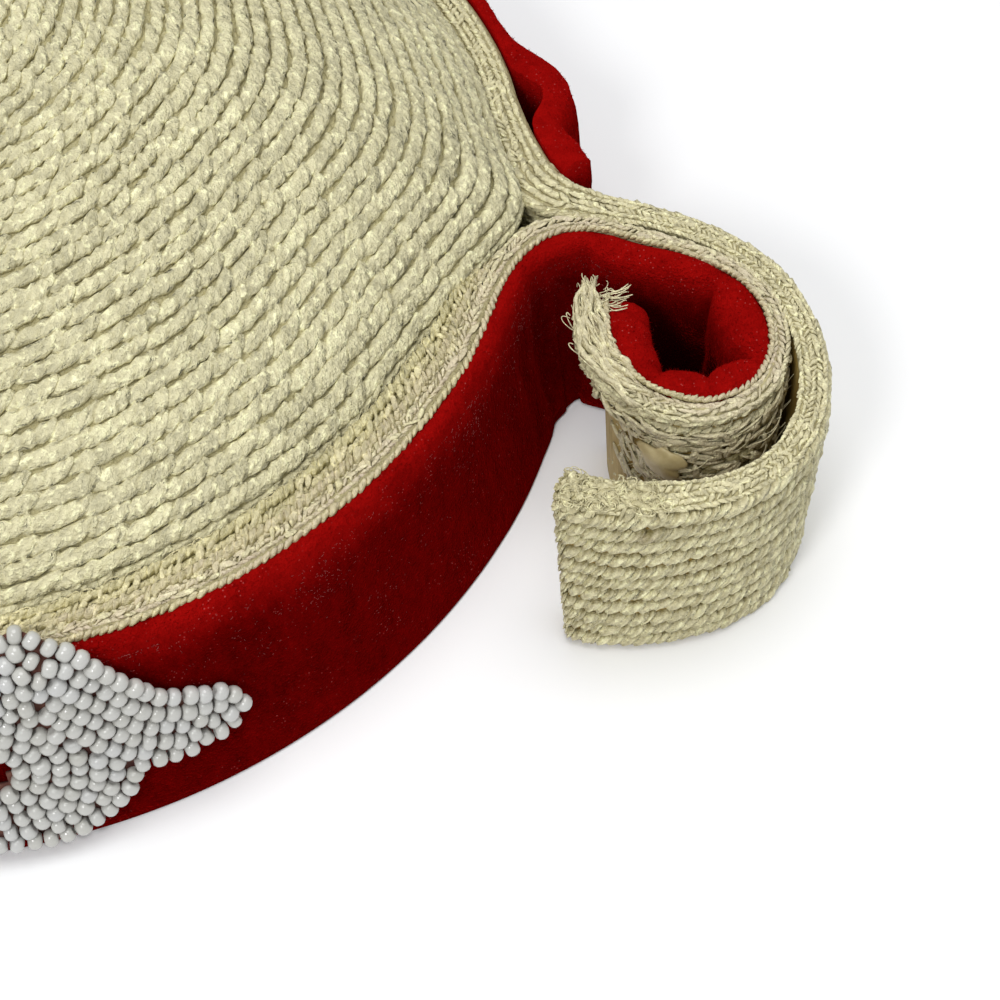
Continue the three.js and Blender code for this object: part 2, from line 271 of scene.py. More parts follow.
def arc_at_row(row):
    """Length along the strip at a row, which may lie between two."""
    return float(np.interp(row, STEP_ROW, ARC))


def arc_at_angle(angle):
    """Length along the strip at a plan angle of the ring, from RING_START to RING_END."""
    row = len(OUTER_LEAF) + RING_STEPS * (angle - RING_START) / (RING_END - RING_START)
    return arc_at_row(row)


def strip_point(arc, out, up):
    """Points beside the strip: along it, out from its outer face at the top edge, and up."""
    arc, out, up = np.broadcast_arrays(arc, out, up)
    inside = np.clip(arc, 0, STRIP_LENGTH)
    ax, ay = along_strip(inside, ALONG[:, 0]), along_strip(inside, ALONG[:, 1])
    low = 1 - up / BAND_HEIGHT
    side = out + along_strip(inside, LEAN) * low
    on = arc - inside + along_strip(inside, SLANT) * low
    x = along_strip(inside, LINE[:, 0]) + ay * side + ax * on
    y = along_strip(inside, LINE[:, 1]) - ax * side + ay * on
    return np.stack([x, y, up], axis=-1)


VELVET_START = arc_at_row(12)
VELVET_END = arc_at_row(LAST_ROW - 1 / 3)
LEAF_START = arc_at_row(FIRST_INNER_ROW)
print(f"velvet from {VELVET_START:.0f} to {VELVET_END:.0f} mm along the strip")

# %% [markdown]
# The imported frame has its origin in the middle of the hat's box, and the ornament faces the front. So the
# plan is turned by the ornament's angle and moved to the hat's axis, which is found from the velvet's box.

# %% From the hat's own plan to the frame
FOOT_RADIUS = STRAW_RADIUS + CLEARANCE + VELVET_WALL + BAND_LEAN * (1 - VELVET_SHORT / BAND_HEIGHT)
velvet_low, velvet_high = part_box("velvet_facing")
HAT_AXIS = np.array([velvet_low.x / MM + FOOT_RADIUS, velvet_high.y / MM - FOOT_RADIUS, 0])
TURN = math.radians(-PINCH_ANGLE)


def in_frame(points):
    """Points of the hat's plan, in millimetres, as points of the frame, in metres."""
    x, y, z = np.moveaxis(np.asarray(points, float), -1, 0)
    turned_x = x * math.cos(TURN) - y * math.sin(TURN)
    turned_y = x * math.sin(TURN) + y * math.cos(TURN)
    return (np.stack([turned_x, turned_y, z], axis=-1) + HAT_AXIS) * MM


print("hat axis in the frame, mm:", HAT_AXIS[:2].round(2))

# %% [markdown]
# The camera stands close, in front of the scroll and high above it, as the photograph was taken. Its
# place was found by fitting the band's edges. The camera looks past the hat's middle, so the left side
# and the back run out of the picture.

# %% Camera
CAMERA_AT = (80.6, -189.0, 219.8)  # in the hat's plan
CAMERA_DOWN = 54.9  # degrees below level
CAMERA_ANGLE = 30.0  # width of the view, in degrees

camera_data = bpy.data.cameras.new("camera")
camera_data.angle = math.radians(CAMERA_ANGLE)
camera_data.clip_start = 0.01
camera = bpy.data.objects.new("camera", camera_data)
camera.location = in_frame(CAMERA_AT)
camera.rotation_euler = (math.radians(90 - CAMERA_DOWN), 0, TURN)
bpy.context.collection.objects.link(camera)
bpy.context.scene.camera = camera
print("camera at, m:", [round(value, 3) for value in camera.location])

# %% [markdown]
# The light is a white room: a bright even world, one large soft box overhead and a smaller lamp at the
# front left, which puts the small sharp lights on the beads and the shine on the straw. The floor is
# nearly white. The plain view transform keeps the whites white.

# %% Light and floor
scene = bpy.context.scene
scene.view_settings.view_transform = "Standard"
world = bpy.data.worlds.new("white_room")
world.use_nodes = True
background = world.node_tree.nodes["Background"].inputs
background["Color"].default_value = (0.95, 0.97, 1.0, 1)
background["Strength"].default_value = 0.52
scene.world = world


def lamp(name, place, target, size, power):
    """A round soft lamp that faces a target. Its size is in metres, its power in watts."""
    data = bpy.data.lights.new(name, "AREA")
    data.shape = "DISK"
    data.size = size
    data.energy = power
    thing = bpy.data.objects.new(name, data)
    thing.location = in_frame(place)
    away = thing.location - type(thing.location)(in_frame(target))
    thing.rotation_euler = away.to_track_quat("Z", "Y").to_euler()
    bpy.context.collection.objects.link(thing)


SCROLL = (100, -30, 20)  # both lamps face the scroll
lamp("overhead_box", (110, 0, 900), SCROLL, 0.70, 4.4)
lamp("front_lamp", (-90, -360, 400), SCROLL, 0.12, 0.95)

bpy.ops.mesh.primitive_plane_add(size=4)
floor = bpy.context.object
floor.name = "floor"
floor_paint = bpy.data.materials.new("floor_paint")
floor_paint.use_nodes = True
paint = floor_paint.node_tree.nodes["Principled BSDF"].inputs
paint["Base Color"].default_value = (0.93, 0.93, 0.93, 1)
paint["Roughness"].default_value = 0.9
floor.data.materials.append(floor_paint)
floor.select_set(False)
print("lights:", [light.name for light in bpy.data.lights])

# %% [markdown]
# Finishes are written as sums. A value that runs through a material is wrapped in a small class, so
# that 1 - value or value * 2 adds the Math nodes for it. Every other node comes from one method.

# %% Values
class Value:
    """A number or colour that runs through a material's nodes."""

    def __init__(self, finish, socket):
        self.finish = finish
        self.socket = socket

    def maths(self, operation, first, second):
        return self.finish.node("ShaderNodeMath", {"operation": operation}, {0: first, 1: second})

    def __add__(self, other):
        return self.maths("ADD", self, other)

    def __radd__(self, other):
        return self.maths("ADD", other, self)

    def __sub__(self, other):
        return self.maths("SUBTRACT", self, other)

    def __rsub__(self, other):
        return self.maths("SUBTRACT", other, self)

    def __mul__(self, other):
        return self.maths("MULTIPLY", self, other)

    def __rmul__(self, other):
        return self.maths("MULTIPLY", other, self)

    def __lt__(self, other):
        return self.maths("LESS_THAN", self, other)


print("sums for finishes: +, -, * and <")

# %% [markdown]
# A finish holds a material's shader and the nodes that feed it. The short methods name what a maker thinks
# of: a cloud of noise, a mix of two colours, a ramp, a bump. Each makes its node and gives back a value.

# %% Finishes
class Finish:
    """A material: its shader, and the nodes that feed it."""

    def __init__(self, name, **settings):
        self.material = bpy.data.materials.new(name)
        self.material.use_nodes = True
        self.tree = self.material.node_tree
        self.shader = self.tree.nodes["Principled BSDF"]
        for socket, value in settings.items():
            title = socket.replace("_", " ").title().replace("Ior", "IOR")
            self.shader.inputs[title].default_value = value

    def node(self, kind, settings=None, values=None, output=0):
        """Adds a node, sets it up, then sets or links its sockets. Gives one of its outputs."""
        made = self.tree.nodes.new(kind)
        for name, setting in (settings or {}).items():
            if name == "stops":
                while len(made.color_ramp.elements) < len(setting):
                    made.color_ramp.elements.new(0.5)
                for element, (place, colour) in zip(made.color_ramp.elements, setting):
                    element.position = place
                    element.color = colour
            else:
                setattr(made, name, setting)
        for name, value in (values or {}).items():
            if isinstance(value, Value):
                self.tree.links.new(value.socket, made.inputs[name])
            else:
                made.inputs[name].default_value = value
        return Value(self, made.outputs[output])

    def mix(self, share, first, second):
        """A colour between two, by a share."""
        return self.node("ShaderNodeMix", {"data_type": "RGBA"}, {0: share, 6: first, 7: second}, 2)

    def places(self, *stretch):
        """Object coordinates, stretched along each axis where that is given."""
        plain = self.node("ShaderNodeTexCoord", output="Object")
        return self.node("ShaderNodeMapping", values={0: plain, "Scale": stretch}) if stretch else plain

    def noise(self, vector, scale, detail=2.0, rough=0.5):
        """A cloud of noise."""
        values = {"Vector": vector, "Scale": scale, "Detail": detail, "Roughness": rough}
        return self.node("ShaderNodeTexNoise", values=values)

    def cells(self, vector, scale):
        """How far each place is from the middle of its cell, for cells strewn at random."""
        values = {"Vector": vector, "Scale": scale}
        return self.node("ShaderNodeTexVoronoi", values=values, output="Distance")

    def attribute(self, name):
        """A number that a piece's points carry."""
        return self.node("ShaderNodeAttribute", {"attribute_name": name}, output="Fac")

    def upward(self, places):
        """The height of places, in metres."""
        return self.node("ShaderNodeSeparateXYZ", values={0: places}, output="Z")

    def step(self, value, low, high):
        """A smooth step from 0 to 1 between two values."""
        values = {"Value": value, "From Min": low, "From Max": high}
        return self.node("ShaderNodeMapRange", {"interpolation_type": "SMOOTHSTEP"}, values)

    def ramp(self, value, *stops):
        """A colour for a value, by stops of a place and its colour."""
        return self.node("ShaderNodeValToRGB", {"stops": stops}, {0: value})

    def feed(self, **sockets):
        """Links values to the shader's sockets."""
        for socket, value in sockets.items():
            self.tree.links.new(value.socket, self.shader.inputs[socket.replace("_", " ").title()])

    def bump(self, height, strength, distance):
        """Roughens the shading by a height, without moving any point."""
        values = {"Strength": strength, "Distance": distance, "Height": height}
        self.feed(normal=self.node("ShaderNodeBump", values=values))


def colour(red, green, blue):
    """An opaque colour."""
    return (red, green, blue, 1.0)


print("materials so far:", [material.name for material in bpy.data.materials])

# %% [markdown]
# The straw is a glossy plant fibre in pale cream, twisted and plaited. Colour shifts a little from plait
# to plait, and the hollows are painted olive and darker, as painted shade. Each plait carries two
# numbers for this: a tone of its own, and how deep a point lies. A third, wear, turns straw to the pinkish
# beige of the older braid beside the velvet. Fine noise gives the fibres and pale crumbs, which are painted
# near white as glints, and small cells break the surface into facets, as crossing fibres do, with painted
# shade along the creases between them.

# %% Straw finishes
def straw_finish(name, pale, deep):
    """A straw finish from its pale colour and the colour of the shade painted in its hollows."""
    finish = Finish(name, specular_ior_level=0.5)
    tone = finish.attribute("tone")
    depth = finish.attribute("depth")
    wear = finish.attribute("wear")
    places = finish.places()
    cloudy = finish.noise(places, 45.0, 3.0)
    fibre = finish.noise(places, 3200.0, 2.0, 0.6)
    grain = finish.noise(places, 1100.0, 3.0, 0.6)
    # Pale crumbs of the grain: painted near white as glints, and glossier.
    crumb_and_painted_glint = finish.step(grain, 0.53, 0.68)
    facet = finish.cells(places, 950.0)
    # Painted shade in the creases between the cells.
    painted_crease_shade = finish.step(facet, 0.46, 0.72)
    light = 0.24 * tone + 0.12 * cloudy + 0.30 * grain + 0.30 * crumb_and_painted_glint + 0.18 * fibre + 0.02
    light = light - 0.09 * painted_crease_shade
    straw = finish.ramp(
        light,
        (0.22, colour(*(0.66 * part for part in pale))),
        (0.45, colour(*pale)),
        (0.74, colour(*(min(1.0, 1.45 * part) for part in pale))),
    )
    beige = finish.mix(0.75 * wear, straw, colour(0.66, 0.53, 0.42))
    # Deeper points turn to the darker colour: painted shade in the hollows.
    with_painted_shade = finish.mix(depth, beige, colour(*deep))
    finish.feed(base_color=with_painted_shade)
    finish.feed(roughness=0.44 - 0.20 * crumb_and_painted_glint - 0.06 * tone)
    finish.bump(1.1 * grain + 0.4 * fibre - 0.42 * facet, 1.0, 0.00058)
    return finish.material


crown_straw = straw_finish("crown_straw", (0.720, 0.665, 0.412), (0.400, 0.355, 0.175))
band_straw = straw_finish("band_straw", (0.725, 0.660, 0.405), (0.300, 0.252, 0.105))
edge_straw = straw_finish("edge_straw", (0.700, 0.630, 0.362), (0.330, 0.285, 0.100))
print("straw finishes:", crown_straw.name, band_straw.name, edge_straw.name)

# %% [markdown]
# A plait is a short spindle of straw bound round by a few slanted wraps, and the next plait comes out
# from under its turned-up end. Thousands of them make the crown. By hand one would be modelled and set
# along a curve, but each has to bend with the surface and none is quite like the next. So their rings of
# points are worked out together as arrays, and joined in one mesh.

# %% One plait
def ring_section(over, boxy=0.0):
    """Corners (across, out) round a section: some over its flattened outer side, then two at its foot."""
    angles = np.linspace(np.pi, 0, over)
    across = np.sign(np.cos(angles)) * np.abs(np.cos(angles)) ** (0.85 - 0.25 * boxy)
    out = np.clip(np.sin(angles), 0, 1) ** (0.75 - 0.33 * boxy)
    return np.append(across, [0.6, -0.6]), np.append(out, [-0.75, -0.75])


def plaits(start, length, width, height, wraps=5, rise=0.0, slant=0.6, groove=0.14, over=5, tip=0.62,
           bare=1.0, ragged=0.05, dip=0.42, early=0.34, boxy=0.0, blunt=4, knobs=0.0):
    """Local places (along, across, out) of plaits, as [plait, ring, corner, 3], and each point's depth.

    Each starts sunk under the one before by a dip, early on. It crosses its row by a rise, most of it at
    the tip, and leans by a slant. Grooves part its wraps, knobs and ragged rings roughen it, and a bare
    tip is smooth.
    """
    rings = 2 * wraps + 1
    columns = (start, length, width, height, rise, bare)
    start, length, width, height, rise, bare = (np.asarray(value, float).reshape(-1, 1) for value in columns)
    share = np.linspace(0, 1, rings)[None]
    across, out = ring_section(over, boxy)
    girth = np.sqrt(1 - 0.86 * np.abs(2 * share - 1) ** blunt)
    smooth_tip = bare * smooth(share, tip + 0.08, 0.96)
    between_wraps = 1 - np.arange(rings)[None] % 2
    dent = groove * between_wraps * (1 - smooth_tip) * chance.uniform(0.5, 1.5, (len(start), rings))
    rib = 1 - dent + ragged * chance.normal(0, 1, (len(start), rings))
    girth_across = girth * rib * (1 - 0.34 * smooth_tip)
    girth_out = girth * rib * (1 - 0.10 * smooth_tip)
    path = rise * (-0.5 + 0.36 * share + 0.64 * smooth(share, tip, 1.0))
    sink = -dip * (1 - smooth(share, 0.0, early)) - 0.10 * smooth(share, 0.86, 1.0)
    wide = (width * girth_across)[..., None] * across
    tall = (height * girth_out)[..., None] * out + (height * sink)[..., None]
    knot = (np.arange(rings)[:, None] + np.arange(over + 2)) % 2
    knob = knobs * (2 * knot - 1) * (1 - smooth_tip)[..., None] * chance.uniform(0.1, 1.3, tall.shape)
    rough = knob + 0.7 * ragged * chance.normal(0, 1, tall.shape)
    tall = tall + height[..., None] * rough * (out > 0.3)
    lead = (start + length * share)[..., None] + slant * wide
    side = path[..., None] + wide
    # The depth is painted shade: larger low on the sides and in the grooves, smaller on raised knobs.
    shade = 0.30 * dent / max(groove, 0.01)
    depth = 0.5 - 0.5 * girth_out[..., None] * out + shade[..., None] - 1.2 * knob
    return np.stack([lead, side, tall], axis=-1), np.clip(depth, 0, 1)


def turned(local, middle, angle):
    """Places along and across of plaits that are turned about their middles, by angles in radians."""
    middle, angle = middle[:, None, None], np.asarray(angle)[:, None, None]
    along = local[..., 0] - middle
    across = local[..., 1]
    return (middle + along * np.cos(angle) - across * np.sin(angle),
            along * np.sin(angle) + across * np.cos(angle))


def flat_bits(middle, angle, long, wide, thick):
    """Flat leaf-like bits of straw, turned about their middles: along, across, out, and depth."""
    local, depth = plaits(
        middle - long / 2, long, wide, thick,
        wraps=2, slant=0.0, groove=0.0, dip=0.7, early=0.3, ragged=0.07, boxy=0.4,
    )
    along, across = turned(local, middle, angle)
    return along, across, local[..., 2], depth


print("corners round a plait:", len(ring_section(5)[0]))

# %% [markdown]
# An array of points becomes a mesh by naming the corners of its faces. Many closed tubes make one piece:
# each has rings of points, four-sided faces between two rings, and a face at each end. The numbers for the
# finish are kept on the points as named attributes.

# %% Meshes from arrays
def add_mesh(name, points, faces):
    """A new mesh object from points in millimetres and arrays of faces, one for each corner count."""
    mesh = bpy.data.meshes.new(name)
    mesh.vertices.add(len(points))
    mesh.vertices.foreach_set("co", in_frame(points).ravel())
    sizes = np.concatenate([np.full(len(group), group.shape[1]) for group in faces])
    corners = np.concatenate([group.ravel() for group in faces])
    mesh.loops.add(len(corners))
    mesh.loops.foreach_set("vertex_index", corners.astype(np.int32))
    mesh.polygons.add(len(sizes))
    mesh.polygons.foreach_set("loop_start", running_sum(sizes[:-1]).astype(np.int32))
    mesh.update(calc_edges=True)
    mesh.shade_smooth()
    made = bpy.data.objects.new(name, mesh)
    bpy.context.collection.objects.link(made)
    return made


def give_numbers(thing, **numbers):
    """Gives a piece named numbers, one for each of its points."""
    count = len(thing.data.vertices)
    for name, values in numbers.items():
        layer = thing.data.attributes.new(name, "FLOAT", "POINT")
        spread_out = np.broadcast_to(np.asarray(values, np.float32).ravel(), count)
        layer.data.foreach_set("value", np.ascontiguousarray(spread_out))
    return thing


def tube_faces(tubes, rings, corners):
    """Faces of closed tubes whose points are counted by tube, ring and corner."""
    first = np.arange(tubes)[:, None, None] * rings * corners
    ring = np.arange(rings - 1)[None, :, None] * corners
    corner = np.arange(corners)[None, None, :]
    following = (corner + 1) % corners
    sides = np.stack([
        first + ring + corner,
        first + ring + corners + corner,
        first + ring + corners + following,
        first + ring + following,
    ], axis=-1).reshape(-1, 4)
    near = first[:, 0] + np.arange(corners)
    far = first[:, 0] + (rings - 1) * corners + np.arange(corners)[::-1]
    return [sides, np.vstack([near, far])]


def add_tubes(name, points, tone, depth, wear=0.0):
    """One piece of many closed tubes, from points as [tube, ring, corner, xyz]."""
    tubes, rings, corners, _ = points.shape
    made = add_mesh(name, points.reshape(-1, 3), tube_faces(tubes, rings, corners))
    full = np.ones((tubes, rings, corners))
    # The depth is the painted shade of the straw finishes.
    return give_numbers(made, tone=full * tone, depth=full * depth, wear=full * wear)


print("faces of a tube of three rings and four corners:", sum(len(group) for group in tube_faces(1, 3, 4)))

# %% [markdown]
# Rows of plaits share two steps. Their places along the row are a little uneven, and so are their tones. And
# every piece is handed over in one way: its finish, the node that it stands for, and its body.

# %% Rows of plaits and finished pieces
def plait_tones(count, rings, spread_out=0.30, ripple=0.18):
    """A tone for each plait, with a small change from wrap to wrap."""
    whole = 0.5 + chance.normal(0, spread_out / 2, (count, 1, 1))
    wraps = np.repeat(chance.normal(0, ripple, (count, (rings + 1) // 2, 1)), 2, axis=1)[:, :rings]
    return np.clip(whole + wraps, 0, 1)


def row_starts(low, high, step, ragged=0.15):
    """Places of plaits along a row, each about a step from the last, and the steps."""
    count = max(1, round((high - low) / step))
    steps = 1 + ragged * chance.uniform(-1, 1, count)
    steps = steps * (high - low) / steps.sum()
    return low + running_sum(steps[:-1]), steps


def finish_piece(thing, slot, material, *nodes):
    """Gives a piece its finish and its place in the frame."""
    thing.data.materials.clear()
    thing.data.materials.append(material)
    if nodes:
        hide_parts(*nodes)
    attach(thing, "root")
    triangles = sum(len(face.vertices) - 2 for face in thing.data.polygons)
    print(f"{thing.name}: {triangles} triangles")
    return thing


print("ready: tones of plaits, places along a row, and the last step for each piece")

# %% [markdown]
# The crown is a shallow dome. Its edge rolls down beside the band and goes on as a hidden skirt to the
# rim. A table of lengths down the profile gives the radius, the height and the slope at each, so the
# spiral of plaits can be laid on it. Near the scroll the crown swells to fill the corner that the band
# leaves.

# %% Profile of the crown
CROWN_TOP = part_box("crown")[1].z / MM
CROWN_EDGE = STRAW_RADIUS - BAND_DEPTH - 0.4
CROWN_RISE = CROWN_TOP - BAND_HEIGHT
DOME_RADIUS = (CROWN_EDGE**2 + CROWN_RISE**2) / (2 * CROWN_RISE)
ROLL_FROM, ROLL_RADIUS = 75.6, 3.0  # where the dome rolls down beside the band, and how sharply
EDGE_ZONE = 56  # the crown swells only in this width along its edge
SKIRT_FOOT = 1.0

# How far the edge swells beyond an even circle. Columns: plan angle, out
SWELL = np.array([
    (60, 0), (66, 0.4), (70, 1.1), (73.4, 2.0), (76.7, 3.4), (79, 4.7), (81.7, 6.6), (84, 7.8), (86, 7.9),
    (88.5, 6.6), (91.5, 5.2), (96, 4.1), (101, 3.6), (112, 2.4), (126, 1.0), (300, 0.7), (312, 0), (420, 0),
])
swell_angles = np.arange(60, 420.25, 0.25)
swell_out = np.interp(swell_angles, SWELL[:, 0], SWELL[:, 1])
swell_out[8:-8] = np.convolve(swell_out, np.full(17, 1 / 17), mode="valid")
swell_soft = swell_out.copy()  # rows farther in turn more gently
swell_soft[36:-36] = np.convolve(swell_out, np.full(73, 1 / 73), mode="valid")

dome_slope = math.asin(ROLL_FROM / DOME_RADIUS)
skirt_slope = math.pi / 2 - math.atan(BAND_LEAN / BAND_HEIGHT)
dome = np.linspace(0, dome_slope, 400)
roll = np.linspace(dome_slope, skirt_slope, 40)[1:]
roll_middle = (ROLL_FROM - ROLL_RADIUS * math.sin(dome_slope),
               CROWN_TOP - DOME_RADIUS + (DOME_RADIUS - ROLL_RADIUS) * math.cos(dome_slope))
profile_r = np.concatenate([DOME_RADIUS * np.sin(dome), roll_middle[0] + ROLL_RADIUS * np.sin(roll)])
profile_z = np.concatenate([CROWN_TOP - DOME_RADIUS * (1 - np.cos(dome)),
                            roll_middle[1] + ROLL_RADIUS * np.cos(roll)])
skirt_down = profile_z[-1] - SKIRT_FOOT
profile_r = np.append(profile_r, profile_r[-1] + skirt_down / math.tan(skirt_slope))
profile_z = np.append(profile_z, SKIRT_FOOT)
profile_slope = np.concatenate([dome, roll, [skirt_slope]])
profile_l = running_sum(np.hypot(np.diff(profile_r), np.diff(profile_z)))
SKIRT_AT = profile_l[-2]


def crown_point(angle, length, out):
    """Points of the crown at a plan angle in degrees, a length down its profile, and out from its face."""
    radius = np.interp(length, profile_l, profile_r)
    slope = np.interp(length, profile_l, profile_slope)
    z = np.interp(length, profile_l, profile_z) + out * np.cos(slope)
    around = 60 + np.mod(np.asarray(angle) - 60, 360)
    near = smooth(radius, CROWN_EDGE - 12, CROWN_EDGE)
    swell = near * np.interp(around, swell_angles, swell_out)
    swell = swell + (1 - near) * np.interp(around, swell_angles, swell_soft)
    swell = swell * np.clip(z / BAND_HEIGHT, 0, 1) * smooth(radius, CROWN_EDGE - EDGE_ZONE, CROWN_EDGE)
    radius = radius + swell + out * np.sin(slope)
    turned = np.radians(angle)
    return np.stack(np.broadcast_arrays(radius * np.sin(turned), -radius * np.cos(turned), z), axis=-1)


print(f"crown: dome radius {DOME_RADIUS:.1f} mm, profile {profile_l[-1]:.1f} mm long")

# %% [markdown]
# Under the plaits lies a plain wall that shows between them, painted dark as the shade there. It could be
# turned on a lathe, but the crown swells at one side. So a flat grid is bent over the dome by moving its
# points, its rows a little in and out as the backs of the plaits are, and a solidify modifier gives it a
# thickness.

# %% Wall of the crown
CROWN_PITCH = 2.2
CROWN_TURNS = 60
CROWN_WALL = 1.2
WALL_UNDER = 0.55  # the wall's face lies this far under the crown's


def bent_grid(name, columns, rows, place, closed=False):
    """A grid primitive whose points are moved by place(column share, row share), with doubles merged."""
    bpy.ops.object.select_all(action="DESELECT")
    bpy.ops.mesh.primitive_grid_add(x_subdivisions=columns, y_subdivisions=rows, size=1)
    made = bpy.context.object
    made.name = made.data.name = name
    flat = np.empty(len(made.data.vertices) * 3)
    made.data.vertices.foreach_get("co", flat)
    flat = flat.reshape(-1, 3) + 0.5
    points = in_frame(place(flat[:, 0].round(6), flat[:, 1].round(6)))
    made.data.vertices.foreach_set("co", points.ravel())
    made.data.update()
    bpy.ops.object.mode_set(mode="EDIT")
    bpy.ops.mesh.select_all(action="SELECT")
    bpy.ops.mesh.remove_doubles(threshold=0.000005)
    if closed:
        bpy.ops.mesh.fill_holes(sides=0)
    bpy.ops.mesh.normals_make_consistent(inside=False)
    bpy.ops.object.mode_set(mode="OBJECT")
    made.data.shade_smooth()
    made.select_set(False)
    return made


def thicken(thing, thickness, offset):
    """Makes an open surface thick, in millimetres: inward for an offset of -1, both ways for 0."""
    wall = thing.modifiers.new("wall", "SOLIDIFY")
    wall.thickness = thickness * MM
    wall.offset = offset
    bpy.context.view_layer.objects.active = thing
    bpy.ops.object.modifier_apply(modifier="wall")


def wall_of_crown(column, row):
    """Places of the wall, round the crown and down its profile."""
    ridge = 0.14 * np.cos(2 * np.pi * row * CROWN_ROWS)
    return crown_point(360 * column, row * profile_l[-1], -WALL_UNDER + ridge)


CROWN_ROWS = round(profile_l[-1] / CROWN_PITCH)
crown_wall = bent_grid("crown_wall", CROWN_TURNS, 2 * CROWN_ROWS, wall_of_crown)
thicken(crown_wall, CROWN_WALL, -1)
# The wall's large depth paints it dark: painted shade between the plaits.
give_numbers(crown_wall, tone=0.3, depth=0.9, wear=0.0)
finish_piece(crown_wall, "crown_straw", crown_straw, "crown")

# %% [markdown]
# One long row of plaits goes round and round the dome, from its top to the shadow beside the band. The
# row's pitch grows from 1.9 mm at the top to 2.5 mm at the edge. Each plait lies a little across the row: it
# starts on the outer side and its tip turns up towards the inner side, which gives the stepped dark lines
# between the rows. Near the scroll the plaits are slimmer and lie straighter.

# %% Spiral of the crown
SPIRAL_START, SPIRAL_END = 0.6, SKIRT_AT + 1.6
# Columns: length down the profile, pitch of the row there
PITCHES = np.array([(0, 1.9), (30, 1.95), (50, 2.2), (70, 2.45), (80, 2.5)])
spiral_l = np.linspace(SPIRAL_START, SPIRAL_END, 6000)
spiral_r = np.interp(spiral_l, profile_l, profile_r)
spiral_pitch = np.interp(spiral_l, PITCHES[:, 0], PITCHES[:, 1])
spiral_turns = running_sum(np.diff(spiral_l) / spiral_pitch[1:])
spiral_arc = running_sum(np.diff(spiral_turns) * 2 * np.pi * spiral_r[1:])


def on_spiral(arc, inward, out):
    """Points beside the spiral: along it, inward from its line, and out from the crown's face."""
    turns = np.interp(arc, spiral_arc, spiral_turns)
    return crown_point(360 * turns, np.interp(arc, spiral_arc, spiral_l) - inward, out)


PLAIT_LENGTH = 6.2
starts, steps = row_starts(0, spiral_arc[-1], PLAIT_LENGTH, 0.35)
WRAPS = 5
count = len(starts)
plan_angle = np.mod(360 * np.interp(starts, spiral_arc, spiral_turns), 360)
calm = smooth(plan_angle, 66, 92) * smooth(-plan_angle, -170, -130)
pitch = np.interp(starts, spiral_arc, spiral_pitch)
local, depth = plaits(
    starts - 0.9, steps * 1.30 + 0.4,
    width=(0.518 - 0.064 * calm) * pitch * chance.uniform(0.94, 1.06, count),
    height=0.72 * chance.uniform(0.9, 1.12, count),
    wraps=WRAPS, rise=(0.95 - 0.6 * calm) * chance.uniform(0.7, 1.3, count),
    slant=0.24, groove=0.10, over=6, tip=0.60,
    bare=0.0, ragged=0.07, dip=0.60, early=0.26, boxy=0.65, blunt=6, knobs=0.30,
)
swell = 0.07 * np.sin(2.1 * local[..., 0] + np.arange(count)[:, None, None])
wander = 0.14 * np.sin(local[..., 0] / 5.3) + chance.normal(0, 0.05, (count, 1, 1))
places = on_spiral(local[..., 0], local[..., 1] * (1 + swell) + wander, local[..., 2] - 0.52)
tones = plait_tones(count, 2 * WRAPS + 1, 0.20, 0.22)
half = count // 2
for name, part in (("crown_plaits_top", slice(None, half)), ("crown_plaits_edge", slice(half, None))):
    made = add_tubes(name, places[part], tones[part], 0.55 * depth[part])
    finish_piece(made, "crown_straw", crown_straw, "crown")
print("plaits in the spiral:", count)

# %% [markdown]
# Some plaits end in a smooth flat straw that turns up steeply beside the next plait. These ends catch the
# light and break the even pattern. They are small flat leaves, set where plaits end.

# %% Turned-up ends of the plaits
ends = (starts + steps)[chance.uniform(0, 1, count) < 0.42]
ends = ends[ends > 40]
along, across, out, depth = flat_bits(
    ends - 0.1, chance.normal(0.72, 0.14, len(ends)), chance.uniform(2.2, 3.2, len(ends)),
    chance.uniform(0.42, 0.66, len(ends)), chance.uniform(0.34, 0.46, len(ends)))
flat_ends = add_tubes("crown_flat_ends", on_spiral(along, across, out - 0.10),
                      plait_tones(len(ends), 5, ripple=0.04), 0.5 * depth)
finish_piece(flat_ends, "crown_straw", crown_straw, "crown")

# %% [markdown]
# Several pieces are closed walls along the strip. Each is a grid, bent so that its columns follow the strip
# and its rows go round a section. The first and last rows meet at the foot and are merged, and the two ends
# are filled.

# %% Closed walls along the strip
def corners_at(section, arc):
    """A section's corners at lengths along the strip, as [corner, out and up, length]."""
    return np.array([np.broadcast_arrays(*corner, arc)[:2] for corner in section(arc)])


def closed_wall(name, start, end, step, section):
    """A wall along the strip. section(arc) gives the corners (out, up), from the outer foot up and over."""
    columns = max(2, round((end - start) / step))
    corners = len(section(np.array([start])))

    def place(column, row):
        arc = start + (end - start) * column
        around = np.round(row * corners).astype(int) % corners
        sides = corners_at(section, arc)
        out = np.take_along_axis(sides[:, 0], around[None], 0)[0]
        up = np.take_along_axis(sides[:, 1], around[None], 0)[0]
        return strip_point(arc, out, up)

    return bent_grid(name, columns, corners, place, closed=True)


print("ready: walls along the strip")

# %% [markdown]
# The headband's body is a stiff backing under the braid. Between the leaves it is brown, and where it lies
# bare at the end of the inner leaf it is painted paler, as painted light on that face. A number called bare
# says where that is. Near that end the braid has come off below the topmost rows, so the body is thin there.

# %% Section of the headband
BRAID_DEPTH = 0.9  # the braid on the faces lies in this depth of the strip
TOP_BRAID = 0.5  # and the braid on top in this
TORN_FROM, TORN_FULL = arc_at_row(LAST_ROW - 3.8), arc_at_row(LAST_ROW - 2.0)
TORN_BACK = 0.7  # what is left of the strip's depth where the braid has come off


